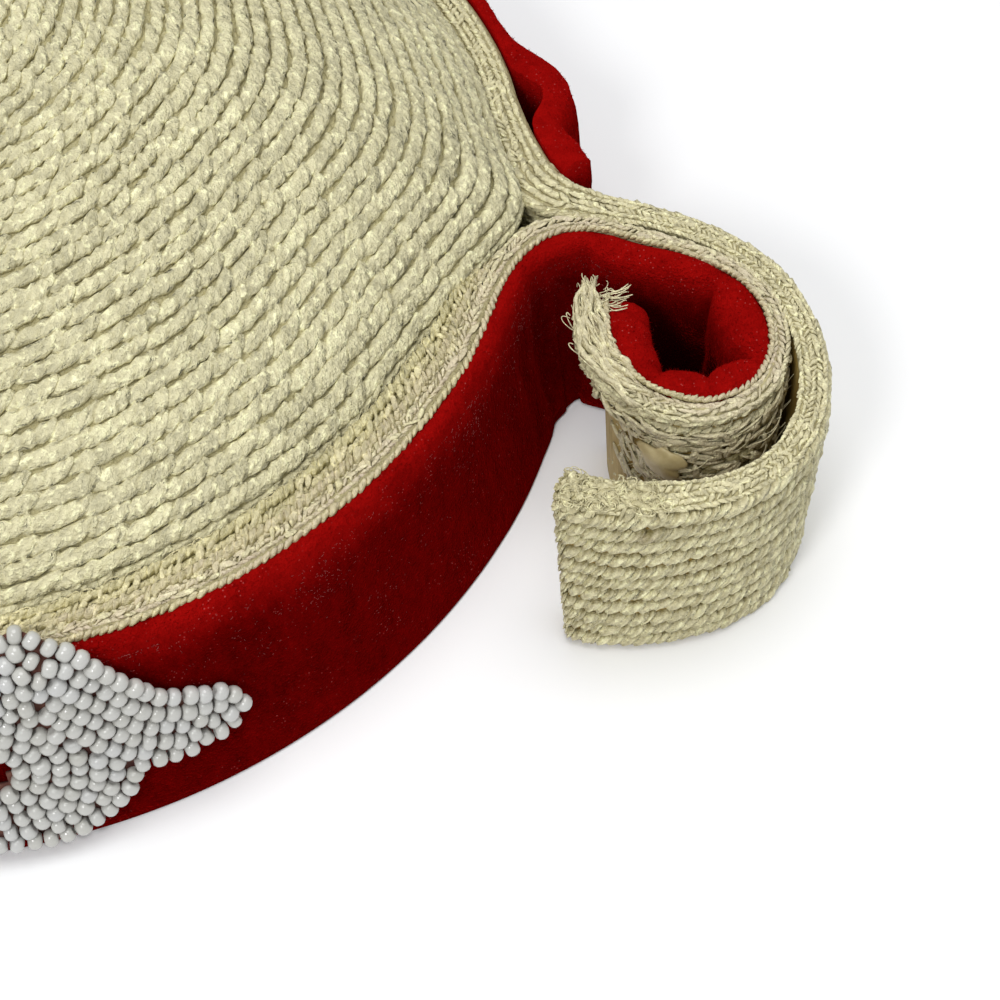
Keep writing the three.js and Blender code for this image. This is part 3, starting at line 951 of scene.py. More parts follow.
def torn_share(arc, up):
    """How far the braid has come off: it has near the inner leaf's end, below the topmost rows."""
    return smooth(arc, TORN_FROM, TORN_FULL) * (1 - smooth(up, 24.5, 27.5))


def straw_back(arc, up):
    """Depth of the strip from its face to its back."""
    straw = along_strip(arc, STRAW)
    return straw + (TORN_BACK - straw) * torn_share(arc, up)


def band_section(arc):
    """Corners of the body: up its face, over the top and down its back."""
    face = np.where(arc < VELVET_START, -BRAID_DEPTH, -0.1)
    top = BAND_HEIGHT - TOP_BRAID

    def back(up):
        spare = np.where(arc < VELVET_START, 0.3, np.where(arc > LEAF_START, BRAID_DEPTH, 0.1))
        return -straw_back(arc, up) + spare * (1 - torn_share(arc, up))

    corners = [(face, up) for up in (0.2, 11, 24, top - 0.6)]
    corners += [(face - 0.5, top), ((face + back(top)) / 2, top), (back(top) + 0.5, top)]
    return corners + [(back(up), up) for up in (top - 0.6, 27.5, 24.5, 11, 0.2)]


print(f"torn from {TORN_FROM:.0f} mm along the strip, and fully from {TORN_FULL:.0f} mm")

# %% Body of the headband
backing = Finish("tan_backing", roughness=0.6, specular_ior_level=0.15)
backing_places = backing.places()
backing_cloud = backing.noise(backing_places, 160.0, 4.0)
backing_grain = backing.noise(backing.places(1, 1, 0.15), 1400.0, 3.0)
# Near the inner leaf's bare end the tan is painted paler: painted light.
tan = backing.ramp(
    0.5 * backing_cloud + 0.4 * backing_grain + 0.30 * backing.attribute("bare"),
    (0.30, colour(0.190, 0.112, 0.022)),
    (0.50, colour(0.340, 0.232, 0.060)),
    (0.80, colour(0.640, 0.500, 0.220)),
)
under_braid = backing.step(backing.upward(backing_places), 0.0298, 0.0306)
backing.feed(base_color=backing.mix(under_braid, tan, colour(0.44, 0.39, 0.21)))
backing.bump(backing_grain, 0.4, 0.00015)

OUTER_BARE, INNER_BARE = arc_at_row(9.8), arc_at_row(FIRST_INNER_ROW + 3)
WALL_STEP = 1.4
headband_body = closed_wall("headband_body", OUTER_BARE, INNER_BARE, WALL_STEP, band_section)
# The body's large depth paints it dark where it shows between rows: painted shade.
give_numbers(headband_body, tone=0.4, depth=0.75, wear=0.1)
finish_piece(headband_body, "band_straw", band_straw, "headband")
outer_backing = closed_wall("outer_leaf_backing", 1.6, OUTER_BARE, WALL_STEP, band_section)
give_numbers(outer_backing, bare=0.0)
finish_piece(outer_backing, "band_straw", backing.material, "headband")
inner_backing = closed_wall("inner_leaf_backing", INNER_BARE, STRIP_LENGTH - 3.5, WALL_STEP, band_section)
# Paler towards the bare end: painted light.
bare_end = in_frame(strip_point(STRIP_LENGTH - 7, -1.0, 20.0))
from_end = [math.dist(vertex.co[:2], bare_end[:2]) / MM for vertex in inner_backing.data.vertices]
give_numbers(inner_backing, bare=1 - smooth(np.array(from_end), 4, 12))
finish_piece(inner_backing, "band_straw", backing.material, "headband")

# %% [markdown]
# The outer leaf shows its face: eleven rows of thin rope, one above the other, each a chain of slanted
# bumps. They go round the free end in a tight turn and end inside. A place along such a row is turned into
# a place along the strip and out from it, first on the face, then on the half circle of the turn, then on
# the back. A brown stain lies between two of the upper rows.

# %% Rows on the face of the outer leaf
FACE_ROWS = 11
FACE_FOOT, FACE_TOP = 0.5, 31.5
FACE_PITCH = (FACE_TOP - FACE_FOOT) / FACE_ROWS
FACE_STEP = 1.7
END_TURN = 1.4  # the turn at the free end starts this far from it
END_DEPTH = along_strip(0.0, STRAW) / 2
END_FLAT = 0.5
STAIN_AT, STAIN_UP = 12.6, 27.4


def round_the_end(along, out):
    """Place along the strip and out from its face, for a row that turns round the free end."""
    turn = np.clip((END_TURN - along) / END_DEPTH, 0, np.pi)
    past = np.maximum(0, END_TURN - along - np.pi * END_DEPTH)
    reach = END_DEPTH + out
    arc = np.where(along >= END_TURN, along, END_TURN - END_FLAT * reach * np.sin(turn) + past)
    side = np.where(along >= END_TURN, out, -END_DEPTH + reach * np.cos(turn))
    return arc, side


def stack_parts(parts):
    """Joins the points and numbers of several rows of plaits."""
    return [np.concatenate(column) for column in zip(*parts)]


face_parts = []
for row in range(FACE_ROWS):
    up = FACE_FOOT + FACE_PITCH * (row + 0.5)
    starts, steps = row_starts(-13 - chance.uniform(0, 4), VELVET_START + 2, FACE_STEP, 0.35)
    local, depth = plaits(
        starts - 0.3, steps * 1.5,
        width=0.46 * FACE_PITCH * chance.uniform(0.84, 1.10, len(starts)),
        height=1.05 * chance.uniform(0.75, 1.15, len(starts)),
        wraps=3, rise=0.70, slant=0.55, groove=0.08, tip=0.3, bare=0.3, ragged=0.05, dip=0.70, knobs=0.08,
    )
    wander = 0.22 * np.sin(local[..., 0] / 9 + row * 1.7) + 0.12 * np.sin(local[..., 0] / 3.1 + row)
    high = np.maximum(up + wander + local[..., 1], 0.05)
    arc, out = round_the_end(local[..., 0], local[..., 2] - 0.8)
    points = strip_point(arc, out, high)
    stain = bell(np.hypot(local[..., 0] - STAIN_AT, high - STAIN_UP), 1.1)
    # Tops of the bumps are painted lighter and their sides darker: painted highlight and shade.
    tones = plait_tones(len(starts), 7) + 0.75 * (0.62 - depth)
    face_parts.append((points, tones, np.clip(1.6 * depth - 0.20 + stain, 0, 1), stain))
points, tones, depths, stains = stack_parts(face_parts)
outer_face = add_tubes("outer_leaf_rows", points, tones, depths, stains)
finish_piece(outer_face, "band_straw", band_straw, "headband")

# %% [markdown]
# The inner leaf's outer face was braided too, but it is torn: the lower rows stop raggedly before the
# end and leave the backing bare. Only the rows near the top go on to the tip. Low down, beside the outer
# leaf and away from the tip, the rows are given more depth, so they come out darker and browner.

# %% Torn rows on the inner leaf
TORN_ROWS = 17
TORN_PITCH = (FACE_TOP - FACE_FOOT) / TORN_ROWS
torn_parts = []
for row in range(TORN_ROWS):
    up = FACE_FOOT + TORN_PITCH * (row + 0.5)
    if row >= TORN_ROWS - 2:
        last = STRIP_LENGTH - chance.uniform(1.5, 4)
    else:
        last = arc_at_row(LAST_ROW - 1.7) + chance.uniform(-0.8, 2.0)
    starts, steps = row_starts(arc_at_row(FIRST_INNER_ROW + 5), last, 1.0, 0.45)
    thinned = 0.35 * smooth(starts, last - 16, last - 4) * (row < TORN_ROWS - 2)
    kept = chance.uniform(0, 1, len(starts)) > thinned
    starts, steps = starts[kept], steps[kept]
    local, depth = plaits(
        starts - 0.3, steps * chance.uniform(1.3, 2.3, len(starts)),
        width=0.50 * TORN_PITCH * chance.uniform(0.5, 1.1, len(starts)),
        height=0.74 * chance.uniform(0.4, 1.25, len(starts)),
        wraps=2, rise=0.5 * chance.uniform(-1.4, 2.0, len(starts)),
        slant=0.5, groove=0.12, tip=0.3, ragged=0.12, boxy=0.3, knobs=0.15,
    )
    wander = 0.3 * np.sin(local[..., 0] / 4.3 + row * 2.1)
    high = np.maximum(up + wander - local[..., 1], 0.05)
    points = strip_point(local[..., 0], -straw_back(local[..., 0], high) - local[..., 2] + 0.7, high)
    shaded = 1.5 * smooth(up, 27, 22.5) * smooth(local[..., 0], last - 9, last - 17)
    torn_parts.append((points, plait_tones(len(starts), 5), depth + shaded))
points, tones, depths = stack_parts(torn_parts)
# The rows get a lighter tone: painted light where the outer leaf shades them.
torn_face = add_tubes("inner_leaf_rows", points, tones + 0.2, 0.5 * depths, 0.05)
finish_piece(torn_face, "band_straw", band_straw, "headband")

# %% [markdown]
# Between the crown and the scroll a little of the strip's inner side shows, so it has a few rows too. They
# are slanted plaits again, laid on the back of the strip.

# %% Rows in the corner beside the crown
CORNER_ROWS, CORNER_PITCH = 5, 1.7
corner_parts = []
for row in range(CORNER_ROWS):
    starts, steps = row_starts(arc_at_row(10.4), arc_at_row(13.2), 1.5, 0.4)
    local, depth = plaits(
        starts - 0.3, steps * 2.0,
        width=0.85 * chance.uniform(0.8, 1.15, len(starts)),
        height=0.7 * chance.uniform(0.7, 1.2, len(starts)),
        wraps=2, rise=0.6, slant=0.6, groove=0.12, tip=0.3, ragged=0.10, knobs=0.12,
    )
    high = BAND_HEIGHT - 1.1 - CORNER_PITCH * row - local[..., 1]
    points = strip_point(local[..., 0], 0.5 - straw_back(local[..., 0], high) - local[..., 2], high)
    corner_parts.append((points, plait_tones(len(starts), 5), depth))
points, tones, depths = stack_parts(corner_parts)
corner_rows = add_tubes("corner_rows", points, tones, depths)
finish_piece(corner_rows, "band_straw", band_straw, "headband")

# %% [markdown]
# The top of the strip is a flat knitted braid: slanted strokes lie in rows, and each row slants against
# the next. The same spindle serves, thin and short, with one wrap. Along the front the strip is narrow
# and beige, so the wear number grows there and on the inner leaf.

# %% Knitted top of the strip
TOP_ROWS, NARROW_ROWS = 5, 3
NARROW_STRAW = 3.7  # a narrower strip has fewer rows
STROKE_STEP = 0.85


def beige_share(arc):
    """How beige the strip is: cream behind, beige along the front and on the inner leaf."""
    return smooth(arc, arc_at_angle(300), arc_at_angle(320))


top_parts = []
for row in range(TOP_ROWS):
    starts, steps = row_starts(0.8, STRIP_LENGTH - 2, STROKE_STEP, 0.4)
    straw = along_strip(starts + 0.5 * steps, STRAW)
    kept = (straw > NARROW_STRAW) | (row < NARROW_ROWS)
    starts, steps, straw = starts[kept], steps[kept], straw[kept]
    count = len(starts)
    rows = np.where(straw > NARROW_STRAW, TOP_ROWS, NARROW_ROWS)
    middle = starts + 0.5 * steps
    from_face = 0.5 + 0.36 * beige_share(middle) - 0.56 * smooth(middle, LEAF_START + 15, LEAF_START + 25)
    pitch = (straw - from_face - 0.05) / rows
    long = chance.uniform(1.2, 2.2, count)
    local, depth = plaits(
        middle - long / 2, long,
        width=pitch * chance.uniform(0.30, 0.50, count),
        height=chance.uniform(0.24, 0.40, count),
        wraps=1, slant=0.0, groove=0.0, over=4, dip=0.3, ragged=0.10,
    )
    at_side = (row == 0) | (row == rows - 1)
    lean = (1 if row % 2 else -1) * chance.normal(0.55, 0.22, count) * np.where(at_side, 0.55, 1.0)
    along, across = turned(local, middle, lean)
    out = -(from_face + pitch * (row + 0.5))[:, None, None] - across
    lift = chance.normal(0, 0.06, count)[:, None, None] - 0.35 * smooth(12 - along, 0, 6)
    high = BAND_HEIGHT - 0.34 - 0.15 * at_side[:, None, None] + lift + local[..., 2]
    points = strip_point(along, out, high)
    worn = beige_share(middle) * (0.85 - 0.25 * row) * chance.uniform(0.4, 1.0, count)
    top_parts.append((points, plait_tones(count, 3), depth, worn[:, None, None] + 0 * depth))
points, tones, depths, worn = stack_parts(top_parts)
band_top = add_tubes("band_top_braid", points, tones, 0.5 * depths, worn)
finish_piece(band_top, "band_straw", band_straw, "headband")

# %% [markdown]
# Odd bits of straw have worked loose and lie flat on the knitted top. They are strewn along it at random.

# %% Loose bits on the top of the strip
count = 260
middle = chance.uniform(14, STRIP_LENGTH - 4, count)
straw = along_strip(middle, STRAW)
along, across, out, depth = flat_bits(
    middle, chance.normal(0, 0.26, count), chance.uniform(1.4, 2.8, count),
    chance.uniform(0.24, 0.46, count), chance.uniform(0.10, 0.16, count))
side = -straw * chance.uniform(0.25, 0.75, count)
points = strip_point(along, side[:, None, None] - across, BAND_HEIGHT - 0.20 + out)
worn = beige_share(middle) * 0.7 * chance.uniform(0, 1, count)
top_bits = add_tubes("band_top_bits", points, plait_tones(count, 5), 0.5 * depth, worn[:, None, None])
finish_piece(top_bits, "band_straw", band_straw, "headband")

# %% [markdown]
# Along the front and into the curl a fine twisted cord runs just beside the velvet. It hides where the
# cloth is sewn on. A twisted section could be swept along a curve. Short slanted plaits, set end to end,
# look the same and lie on the strip as all the others do.

# %% Twisted cord
CORD_WIDTH = 0.44
CORD_FROM = arc_at_angle(360 + FRONT_FROM - FRONT_EASE)
CORD_CURLED = LEAF_START + 16
cord_rows = [
    row_starts(CORD_FROM, CORD_CURLED, 1.20, 0.3),
    row_starts(CORD_CURLED, VELVET_END, 0.92, 0.25),
]
starts, steps = (np.concatenate(column) for column in zip(*cord_rows))
cord_wide = CORD_WIDTH * (0.35 + 0.65 * smooth(starts, CORD_FROM, CORD_FROM + 6))
local, depth = plaits(
    starts - 0.2, steps * 1.42,
    width=cord_wide * chance.uniform(0.75, 1.15, len(starts)),
    height=cord_wide * chance.uniform(0.9, 1.35, len(starts)),
    wraps=2, rise=0.26 * chance.uniform(0.4, 1.6, len(starts)),
    slant=0.45, groove=0.05, tip=0.3, ragged=0.09, dip=0.85,
)
lift = 0.10 * np.sin(local[..., 0] / 3.7) + 0.08 * np.sin(local[..., 0] / 1.3)
tucked = 0.32 * smooth(local[..., 0], LEAF_START + 12, LEAF_START + 28)
high = BAND_HEIGHT - 0.04 + lift + local[..., 2]
points = strip_point(local[..., 0], 0.16 - tucked - local[..., 1], high)
cord_wear = 0.50 + 0.3 * np.sin(starts / 13) * np.sin(starts / 5)
twisted_cord = add_tubes("twisted_cord", points, plait_tones(len(starts), 5), 0.9 * depth,
                         cord_wear[:, None, None])
finish_piece(twisted_cord, "edge_straw", edge_straw, "headband")

# %% [markdown]
# The edge braid lies between the strip and the crown, along the front. A wall carries it. On top are three
# rows of plaits, the middle one sunk like a groove, flat leaf-like bits of straw across them, and fine
# loops of thread that stand over the gap beside the crown.

# %% Wall of the edge braid
EDGE_START = arc_at_angle(360 + FRONT_FROM - 0.75 * FRONT_EASE)
EDGE_END = arc_at_row(FIRST_INNER_ROW + 2)
EDGE_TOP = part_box("edge_braid")[1].z / MM


def edge_sides(arc):
    """The edge braid's outer and inner side, out from the strip's face."""
    angle = along_strip(arc, PLAN)
    taper = 1 - 0.6 * smooth(angle, 60, FRONT_TO)
    straw = along_strip(arc, STRAW)
    outer = -straw - CLEARANCE
    return outer, outer - (BAND_DEPTH - pinch_at(angle) - straw - CLEARANCE) * taper


def edge_sink(arc):
    """How far the edge braid sinks where it ends in the corner beside the scroll."""
    return 2.6 * smooth(arc, EDGE_END - 14, EDGE_END - 1)


def edge_section(arc):
    """Corners of the wall: up its outer side, over the top and down its inner side."""
    outer, inner = edge_sides(arc)
    top = EDGE_TOP - 0.9 - edge_sink(arc)
    back = inner + 0.4
    return [(outer, 0.4), (outer, 16), (outer, top), ((outer + inner) / 2, top + 0.1),
            (back, top), (back, 16), (back, 0.4)]


edge_wall = closed_wall("edge_wall", EDGE_START, EDGE_END, WALL_STEP, edge_section)
# The wall's large depth paints it dark where it shows between rows: painted shade.
give_numbers(edge_wall, tone=0.45, depth=0.8, wear=0.0)
finish_piece(edge_wall, "edge_straw", edge_straw, "edge_braid")

# %% [markdown]
# The rows follow a small table. The one beside the strip is beige, the next lies lowest, and the one beside
# the crown stands highest. Flat bits of straw then lie slantwise across them.

# %% Rows of the edge braid
# Columns: place across the braid, half width as a share of it, height above its top, wear
EDGE_ROWS = [(-0.02, 0.24, -0.52, 0.55), (0.42, 0.21, -0.84, 0.15), (0.86, 0.25, -0.36, 0.0)]
edge_parts = []
for place, wide, high, wear in EDGE_ROWS:
    starts, steps = row_starts(EDGE_START, EDGE_END, 1.15, 0.4)
    outer, inner = edge_sides(starts)
    local, depth = plaits(
        starts - 0.2, steps * 1.8,
        width=wide * (outer - inner) * chance.uniform(0.75, 1.15, len(starts)),
        height=0.80 * chance.uniform(0.7, 1.2, len(starts)),
        wraps=2, rise=0.5, slant=0.6, groove=0.12, ragged=0.11, dip=0.6, boxy=0.2, knobs=0.16,
    )
    out = (outer - place * (outer - inner))[:, None, None] - local[..., 1]
    points = strip_point(local[..., 0], out, EDGE_TOP + high + local[..., 2] - edge_sink(local[..., 0]))
    worn = wear * chance.uniform(0.5, 1.0, len(starts))
    edge_parts.append((points, plait_tones(len(starts), 5), depth, worn[:, None, None] + 0 * depth))

middle, steps = row_starts(EDGE_START + 1, EDGE_END - 6, 0.78, 0.45)
count = len(middle)
outer, inner = edge_sides(middle)
along, across, out, depth = flat_bits(
    middle, chance.normal(0.75, 0.30, count), (outer - inner) * chance.uniform(0.5, 1.05, count),
    chance.uniform(0.22, 0.50, count), chance.uniform(0.24, 0.50, count))
lane = chance.uniform(-0.40, 0.68, count)
side = (outer - lane * (outer - inner))[:, None, None] - across
over_strip = (BAND_HEIGHT - EDGE_TOP) * smooth(-lane, -0.15, 0.1)
uneven = (over_strip + chance.normal(0, 0.06, count))[:, None, None]
high = EDGE_TOP - 0.16 + uneven + out - edge_sink(along)
worn = np.clip(0.35 * (1 - lane) * chance.uniform(0, 1.2, count), 0, 1)[:, None, None]
edge_parts.append((strip_point(along, side, high), plait_tones(count, 5), 0.8 * depth, worn + 0 * depth))
points, tones, depths, worn = stack_parts(edge_parts)
edge_rows = add_tubes("edge_braid_rows", points, tones, depths, worn)
finish_piece(edge_rows, "edge_straw", edge_straw, "edge_braid")

# %% [markdown]
# The loops are threads, far thinner than a plait. Each could be a curve with a bevel. But there are
# hundreds, so a helper sets a small ring of points round every point of every line, and they become one
# mesh.

# %% Loops of the edge braid
def strands(lines, radius, corners=4):
    """Thin tubes along lines, as [strand, point, xyz], with a radius for each."""
    forward = unit(np.gradient(lines, axis=1))
    lean = np.where(np.abs(forward[..., 2:]) > 0.9, [[[1.0, 0, 0]]], [[[0, 0, 1.0]]])
    side = unit(np.cross(forward, lean))
    upward = np.cross(side, forward)
    angles = 2 * np.pi * np.arange(corners) / corners
    radius = np.asarray(radius, float).reshape(-1, 1, 1, 1)
    ring = np.cos(angles)[:, None] * side[:, :, None] + np.sin(angles)[:, None] * upward[:, :, None]
    return lines[:, :, None] + radius * ring


def strand_tones(count, middle):
    """A tone for each strand, about a middle one."""
    return np.clip(middle + chance.normal(0, 0.2, (count, 1, 1)), 0, 1)


LOOP_POINTS = 9
loops = 240
loop_at = np.sort(chance.uniform(EDGE_START + 3, EDGE_END - 8, loops))
outer, inner = edge_sides(loop_at)
swing = np.linspace(0, np.pi, LOOP_POINTS)[None]
long = chance.uniform(0.5, 1.5, (loops, 1))
over = chance.uniform(0.2, 0.75, (loops, 1))
high = chance.uniform(-0.25, 0.35, (loops, 1))
picot = strip_point(
    loop_at[:, None] - long * np.cos(swing) + 0.4 * np.sin(swing),
    inner[:, None] + 0.35 - over * np.sin(swing),
    EDGE_TOP - 0.25 + high * np.sin(swing) - edge_sink(loop_at)[:, None],
)
edge_loops = add_tubes("edge_loops", strands(picot, chance.uniform(0.06, 0.10, loops)),
                       strand_tones(loops, 0.75), 0.1, 0.1)
finish_piece(edge_loops, "edge_straw", edge_straw, "edge_braid")

# %% [markdown]
# The velvet is a soft, slightly padded facing with a rolled top edge. It lies on the strip in shallow
# waves, folds sharply where the band turns, puckers inside the curl, and has come away from the straw
# behind the scroll, where a dark hollow shows. A cloth simulation would lose these known folds, so the
# sheet is shaped from the rows: a grid with many points, closed round its edge.

# %% Folds and cushions of the velvet
VELVET_STEP = 0.68
FACE_POINTS, ROLL_POINTS, LIP_POINTS, BACK_POINTS = 22, 9, 3, 3
LIP = 0.55  # the cloth meets the cord this far below the top of the straw
CLOTH_OFF = 0.12  # the cloth lies this far off the straw
PILE_CLUMP = 0.14  # unevenness of the pile
APEX = 0.42  # share of the cloth's thickness between the straw and its highest line

# Upright folds where the band turns into the scroll. Columns: place after the ring's end, width, depth
FOLDS = [(-9, 3.4, 0.7), (-1.0, 3.2, 1.0), (6.5, 3.0, 1.2), (13.5, 2.6, 0.9), (20, 2.4, 0.8)]

# Cushions of the lining. Columns: row of the inner leaf with a crease, cloth there, cloth of the cushion
# after it, how far the top dips at the crease
CUSHIONS = [
    (3.2, 2.4, 4.2, 0.6),
    (5.6, 2.2, 5.7, 1.5),
    (8.1, 1.8, 5.6, 1.7),
    (9.6, 4.2, 5.6, 0.5),
    (11.3, 3.7, 5.6, 0.7),
    (14.6, 2.4, 2.4, 0.0),
]
CREASES = [(arc_at_row(FIRST_INNER_ROW + row), dip) for row, low, full, dip in CUSHIONS]
ORNAMENT_AT, ORNAMENT_HALF = arc_at_angle(360 + PINCH_ANGLE), 31.2


def cushioned(thick):
    """The velvet's thickness on every step, with round cushions and sharp creases in the lining."""
    row = STEP_ROW - FIRST_INNER_ROW
    for (start, low, full, _), (end, low_after, _, _) in zip(CUSHIONS[:-1], CUSHIONS[1:]):
        share = np.clip((row - start) / (end - start), 0, 1)
        base = low + (low_after - low) * share
        arch = np.sqrt(1 - (2 * share - 1) ** 2)
        thick = np.where((row > start) & (row < end), base + (full - base) * arch, thick)
    return thick


def velvet_waves(arc, up):
    """How far the velvet stands in or out of its even thickness. It lies flat under the ornament."""
    middle = np.sin(np.pi * np.clip(up / BAND_HEIGHT, 0, 1))
    middle = middle * smooth(np.abs(arc - ORNAMENT_AT), ORNAMENT_HALF, ORNAMENT_HALF + 10)
    wave = 0.22 * np.sin(arc / 6.3 + 0.05 * up) + 0.16 * np.sin(arc / 3.4 + 1.3 - 0.08 * up)
    wave = wave + 0.10 * np.sin(arc / 1.9 + up / 4) + 0.16 * np.sin(up / 2.7 + arc / 11)
    wave = wave + 0.45 * bell(up - 27, 4.5)
    lumpy = 0.34 * np.sin(arc / 2.1 + 2.0 * np.sin(up / 3.1))
    lumpy = lumpy + 0.28 * np.sin(up / 1.6 + 1.5 * np.sin(arc / 2.9))
    wave = wave + lumpy * smooth(arc, LEAF_START + 18, LEAF_START + 28)
    fold = sum(depth * bell(arc - LEAF_START - at, width) for at, width, depth in FOLDS)
    return middle * wave - fold * smooth(up, 30, 20) * smooth(up, 0, 9)


VELVET_THICK = cushioned(VELVET)
print(f"velvet: {VELVET_THICK[VELVET > 0].min():.1f} to {VELVET_THICK.max():.1f} mm thick")

# %% [markdown]
# The section goes up the face, over the roll, in to the cord and down the back. Its points are close on the
# face, so that the pile's small unevenness shows in the shading.

# %% Shape of the velvet
def pile_clumps(arc, up):
    """A small uneven height of the pile, the same each time for the same place."""
    return np.mod(np.sin(12.99 * arc + 78.23 * up) * 43758.5, 1) - 0.5


def velvet_section(arc):
    """Corners of the velvet's section, from the foot of its face to the foot of its back."""
    inner = CLOTH_OFF + along_strip(arc, LIFT)
    thick = along_strip(arc, VELVET_THICK)
    roll = np.minimum(0.9 * thick, 2.0 + 1.6 * smooth(arc, LEAF_START + 15, LEAF_START + 30))
    top = BAND_HEIGHT - 0.30 + 0.22 * np.sin(arc / 8.0) * np.sin(arc / 3.7 + 0.6)
    curled = smooth(arc, LEAF_START + 15, LEAF_START + 25)
    top = top + curled * (0.30 + 0.30 * np.sin(arc / 1.7 + 2.5 * np.sin(arc / 5)))
    top = top - sum(dip * bell(arc - at, 1.3) for at, dip in CREASES)
    lip = BAND_HEIGHT - LIP
    foot = VELVET_SHORT
    corners = []
    for share in np.linspace(0, 1, FACE_POINTS):
        up = foot + (top - roll - foot) * share
        clump = PILE_CLUMP * pile_clumps(arc, up) * smooth(up, foot, foot + 1)
        corners.append((inner + thick + velvet_waves(arc, up) + clump, up))
    face = thick + velvet_waves(arc, top - roll)
    for swing in np.linspace(0, np.pi / 2, ROLL_POINTS + 1)[1:]:
        out = APEX * thick + (face - APEX * thick) * np.cos(swing)
        clump = PILE_CLUMP * pile_clumps(arc, swing)
        corners.append((inner + out + clump, top - roll + roll * np.sin(swing) + clump))
    for swing in np.linspace(0, np.pi / 2, LIP_POINTS + 1)[1:]:
        out = APEX * thick * (1 - np.sin(swing))
        corners.append((inner + out, top + (lip - top) * (1 - np.cos(swing))))
    for share in np.linspace(1, 0, BACK_POINTS + 1)[1:]:
        corners.append((inner, foot + (lip - foot) * share))
    return corners


velvet_sheet = closed_wall("velvet_sheet", VELVET_START, VELVET_END, VELVET_STEP, velvet_section)
print("points of the velvet:", len(velvet_sheet.data.vertices))

# %% [markdown]
# Velvet is dark where one looks straight into the pile and brighter where the pile leans away, at rolled
# edges. The shader's sheen does that, and near the top edge the red is also painted lighter, as painted
# light. Low in the curl's hollow it is painted nearly black, as painted shade. The colour is a deep red
# that clouds slightly where the pile was stroked, and pale specks of lint lie on it, more near the top.

# %% Velvet finish
velvet_finish = Finish(
    "red_velvet", roughness=0.9, specular_ior_level=0.0,
    sheen_weight=0.30, sheen_roughness=0.35, sheen_tint=colour(0.9, 0.012, 0.008),
)
velvet_places = velvet_finish.places()
up_there = velvet_finish.upward(velvet_places)
CURL_MIDDLE = [float(value) for value in in_frame((104.5, -29.5, 0))]
from_middle = velvet_finish.node("ShaderNodeVectorMath", {"operation": "DISTANCE"},
                                 {0: velvet_finish.places(1, 1, 0), 1: CURL_MIDDLE}, "Value")
# Low inside the curl's hollow the red is painted nearly black: painted shade.
inside = 1 - velvet_finish.step(from_middle, 0.0105, 0.0150)
painted_hollow_shade = inside * (1 - velvet_finish.step(up_there, 0.019, 0.0285))
stroked = velvet_finish.noise(velvet_finish.places(1, 1, 0.45), 130.0, 4.0, 0.6)
mottled = velvet_finish.noise(velvet_finish.places(1, 1, 0.6), 620.0, 3.0, 0.6)
pile = velvet_finish.noise(velvet_places, 2600.0, 2.0, 0.6)
strewn = velvet_finish.noise(velvet_places, 150.0, 4.0, 0.65)
# Near the top edge the red is painted lighter: painted light on the rolled edge.
painted_rim_light = velvet_finish.step(up_there, 0.0235, 0.0318)
speck = velvet_finish.cells(velvet_places, 1500.0)
lint = (speck < 0.16) * velvet_finish.step(strewn + 0.06 * painted_rim_light, 0.50, 0.64)
red = velvet_finish.ramp(
    0.30 * stroked + 0.30 * mottled + 0.26 * pile + 0.34 * painted_rim_light,
    (0.28, colour(0.036, 0.0002, 0.0002)),
    (0.51, colour(0.110, 0.0006, 0.0006)),
    (0.92, colour(0.340, 0.0040, 0.0032)),
)
red = velvet_finish.mix(0.85 * painted_hollow_shade, red, colour(0.010, 0.0001, 0.0001))
velvet_finish.feed(base_color=velvet_finish.mix(0.40 * lint, red, colour(0.55, 0.12, 0.11)))
velvet_finish.bump(0.8 * pile + 0.8 * mottled, 0.9, 0.0006)
finish_piece(velvet_sheet, "velvet", velvet_finish.material, "velvet_facing")

# %% [markdown]
# On the rolled edge the pile is seen from the side, so single tufts show. Each is a three-sided spike,
# rooted on the roll and leaning out at random. Real pile has far more hairs; these are enough to soften
# the edge.

# %% Pile of the rolled edge
def face_outward(thing):
    """Turns the faces of a closed piece outward."""
    bpy.ops.object.select_all(action="DESELECT")
    bpy.context.view_layer.objects.active = thing
    bpy.ops.object.mode_set(mode="EDIT")
    bpy.ops.mesh.select_all(action="SELECT")
    bpy.ops.mesh.normals_make_consistent(inside=False)
    bpy.ops.object.mode_set(mode="OBJECT")


TUFT_RADIUS = 0.055
tufts = 11000
tuft_arc = chance.uniform(VELVET_START + 1, VELVET_END - 0.5, tufts)
roll_corners = corners_at(velvet_section, tuft_arc)
pick = chance.integers(FACE_POINTS - 4, FACE_POINTS + ROLL_POINTS + 1, tufts)
blend = chance.uniform(0, 1, tufts)
here = roll_corners[pick, :, np.arange(tufts)]
after = roll_corners[pick + 1, :, np.arange(tufts)]
root = here + (after - here) * blend[:, None]
step = unit(after - here)
normal = np.stack([step[:, 1], -step[:, 0]], axis=1)
in_curl = smooth(tuft_arc, LEAF_START + 12, LEAF_START + 24)
tuft_long = chance.uniform(0.12, 0.32, tufts) * (1 + 0.7 * in_curl)
lean_along = chance.normal(0, 0.18, tufts)
reach = root + normal * tuft_long[:, None] + chance.normal(0, 0.10, (tufts, 2))
tip_at = strip_point(tuft_arc + lean_along, reach[:, 0], reach[:, 1])
base = []
for turn in (0, 1, 2):
    swing = 2 * np.pi * turn / 3 + chance.uniform(0, 2, tufts)
    on_base = root - 0.12 * normal + TUFT_RADIUS * np.sin(swing)[:, None] * step
    base.append(strip_point(tuft_arc + TUFT_RADIUS * np.cos(swing), on_base[:, 0], on_base[:, 1]))
points = np.stack(base + [tip_at], axis=1).reshape(-1, 3)
first = 4 * np.arange(tufts)[:, None]
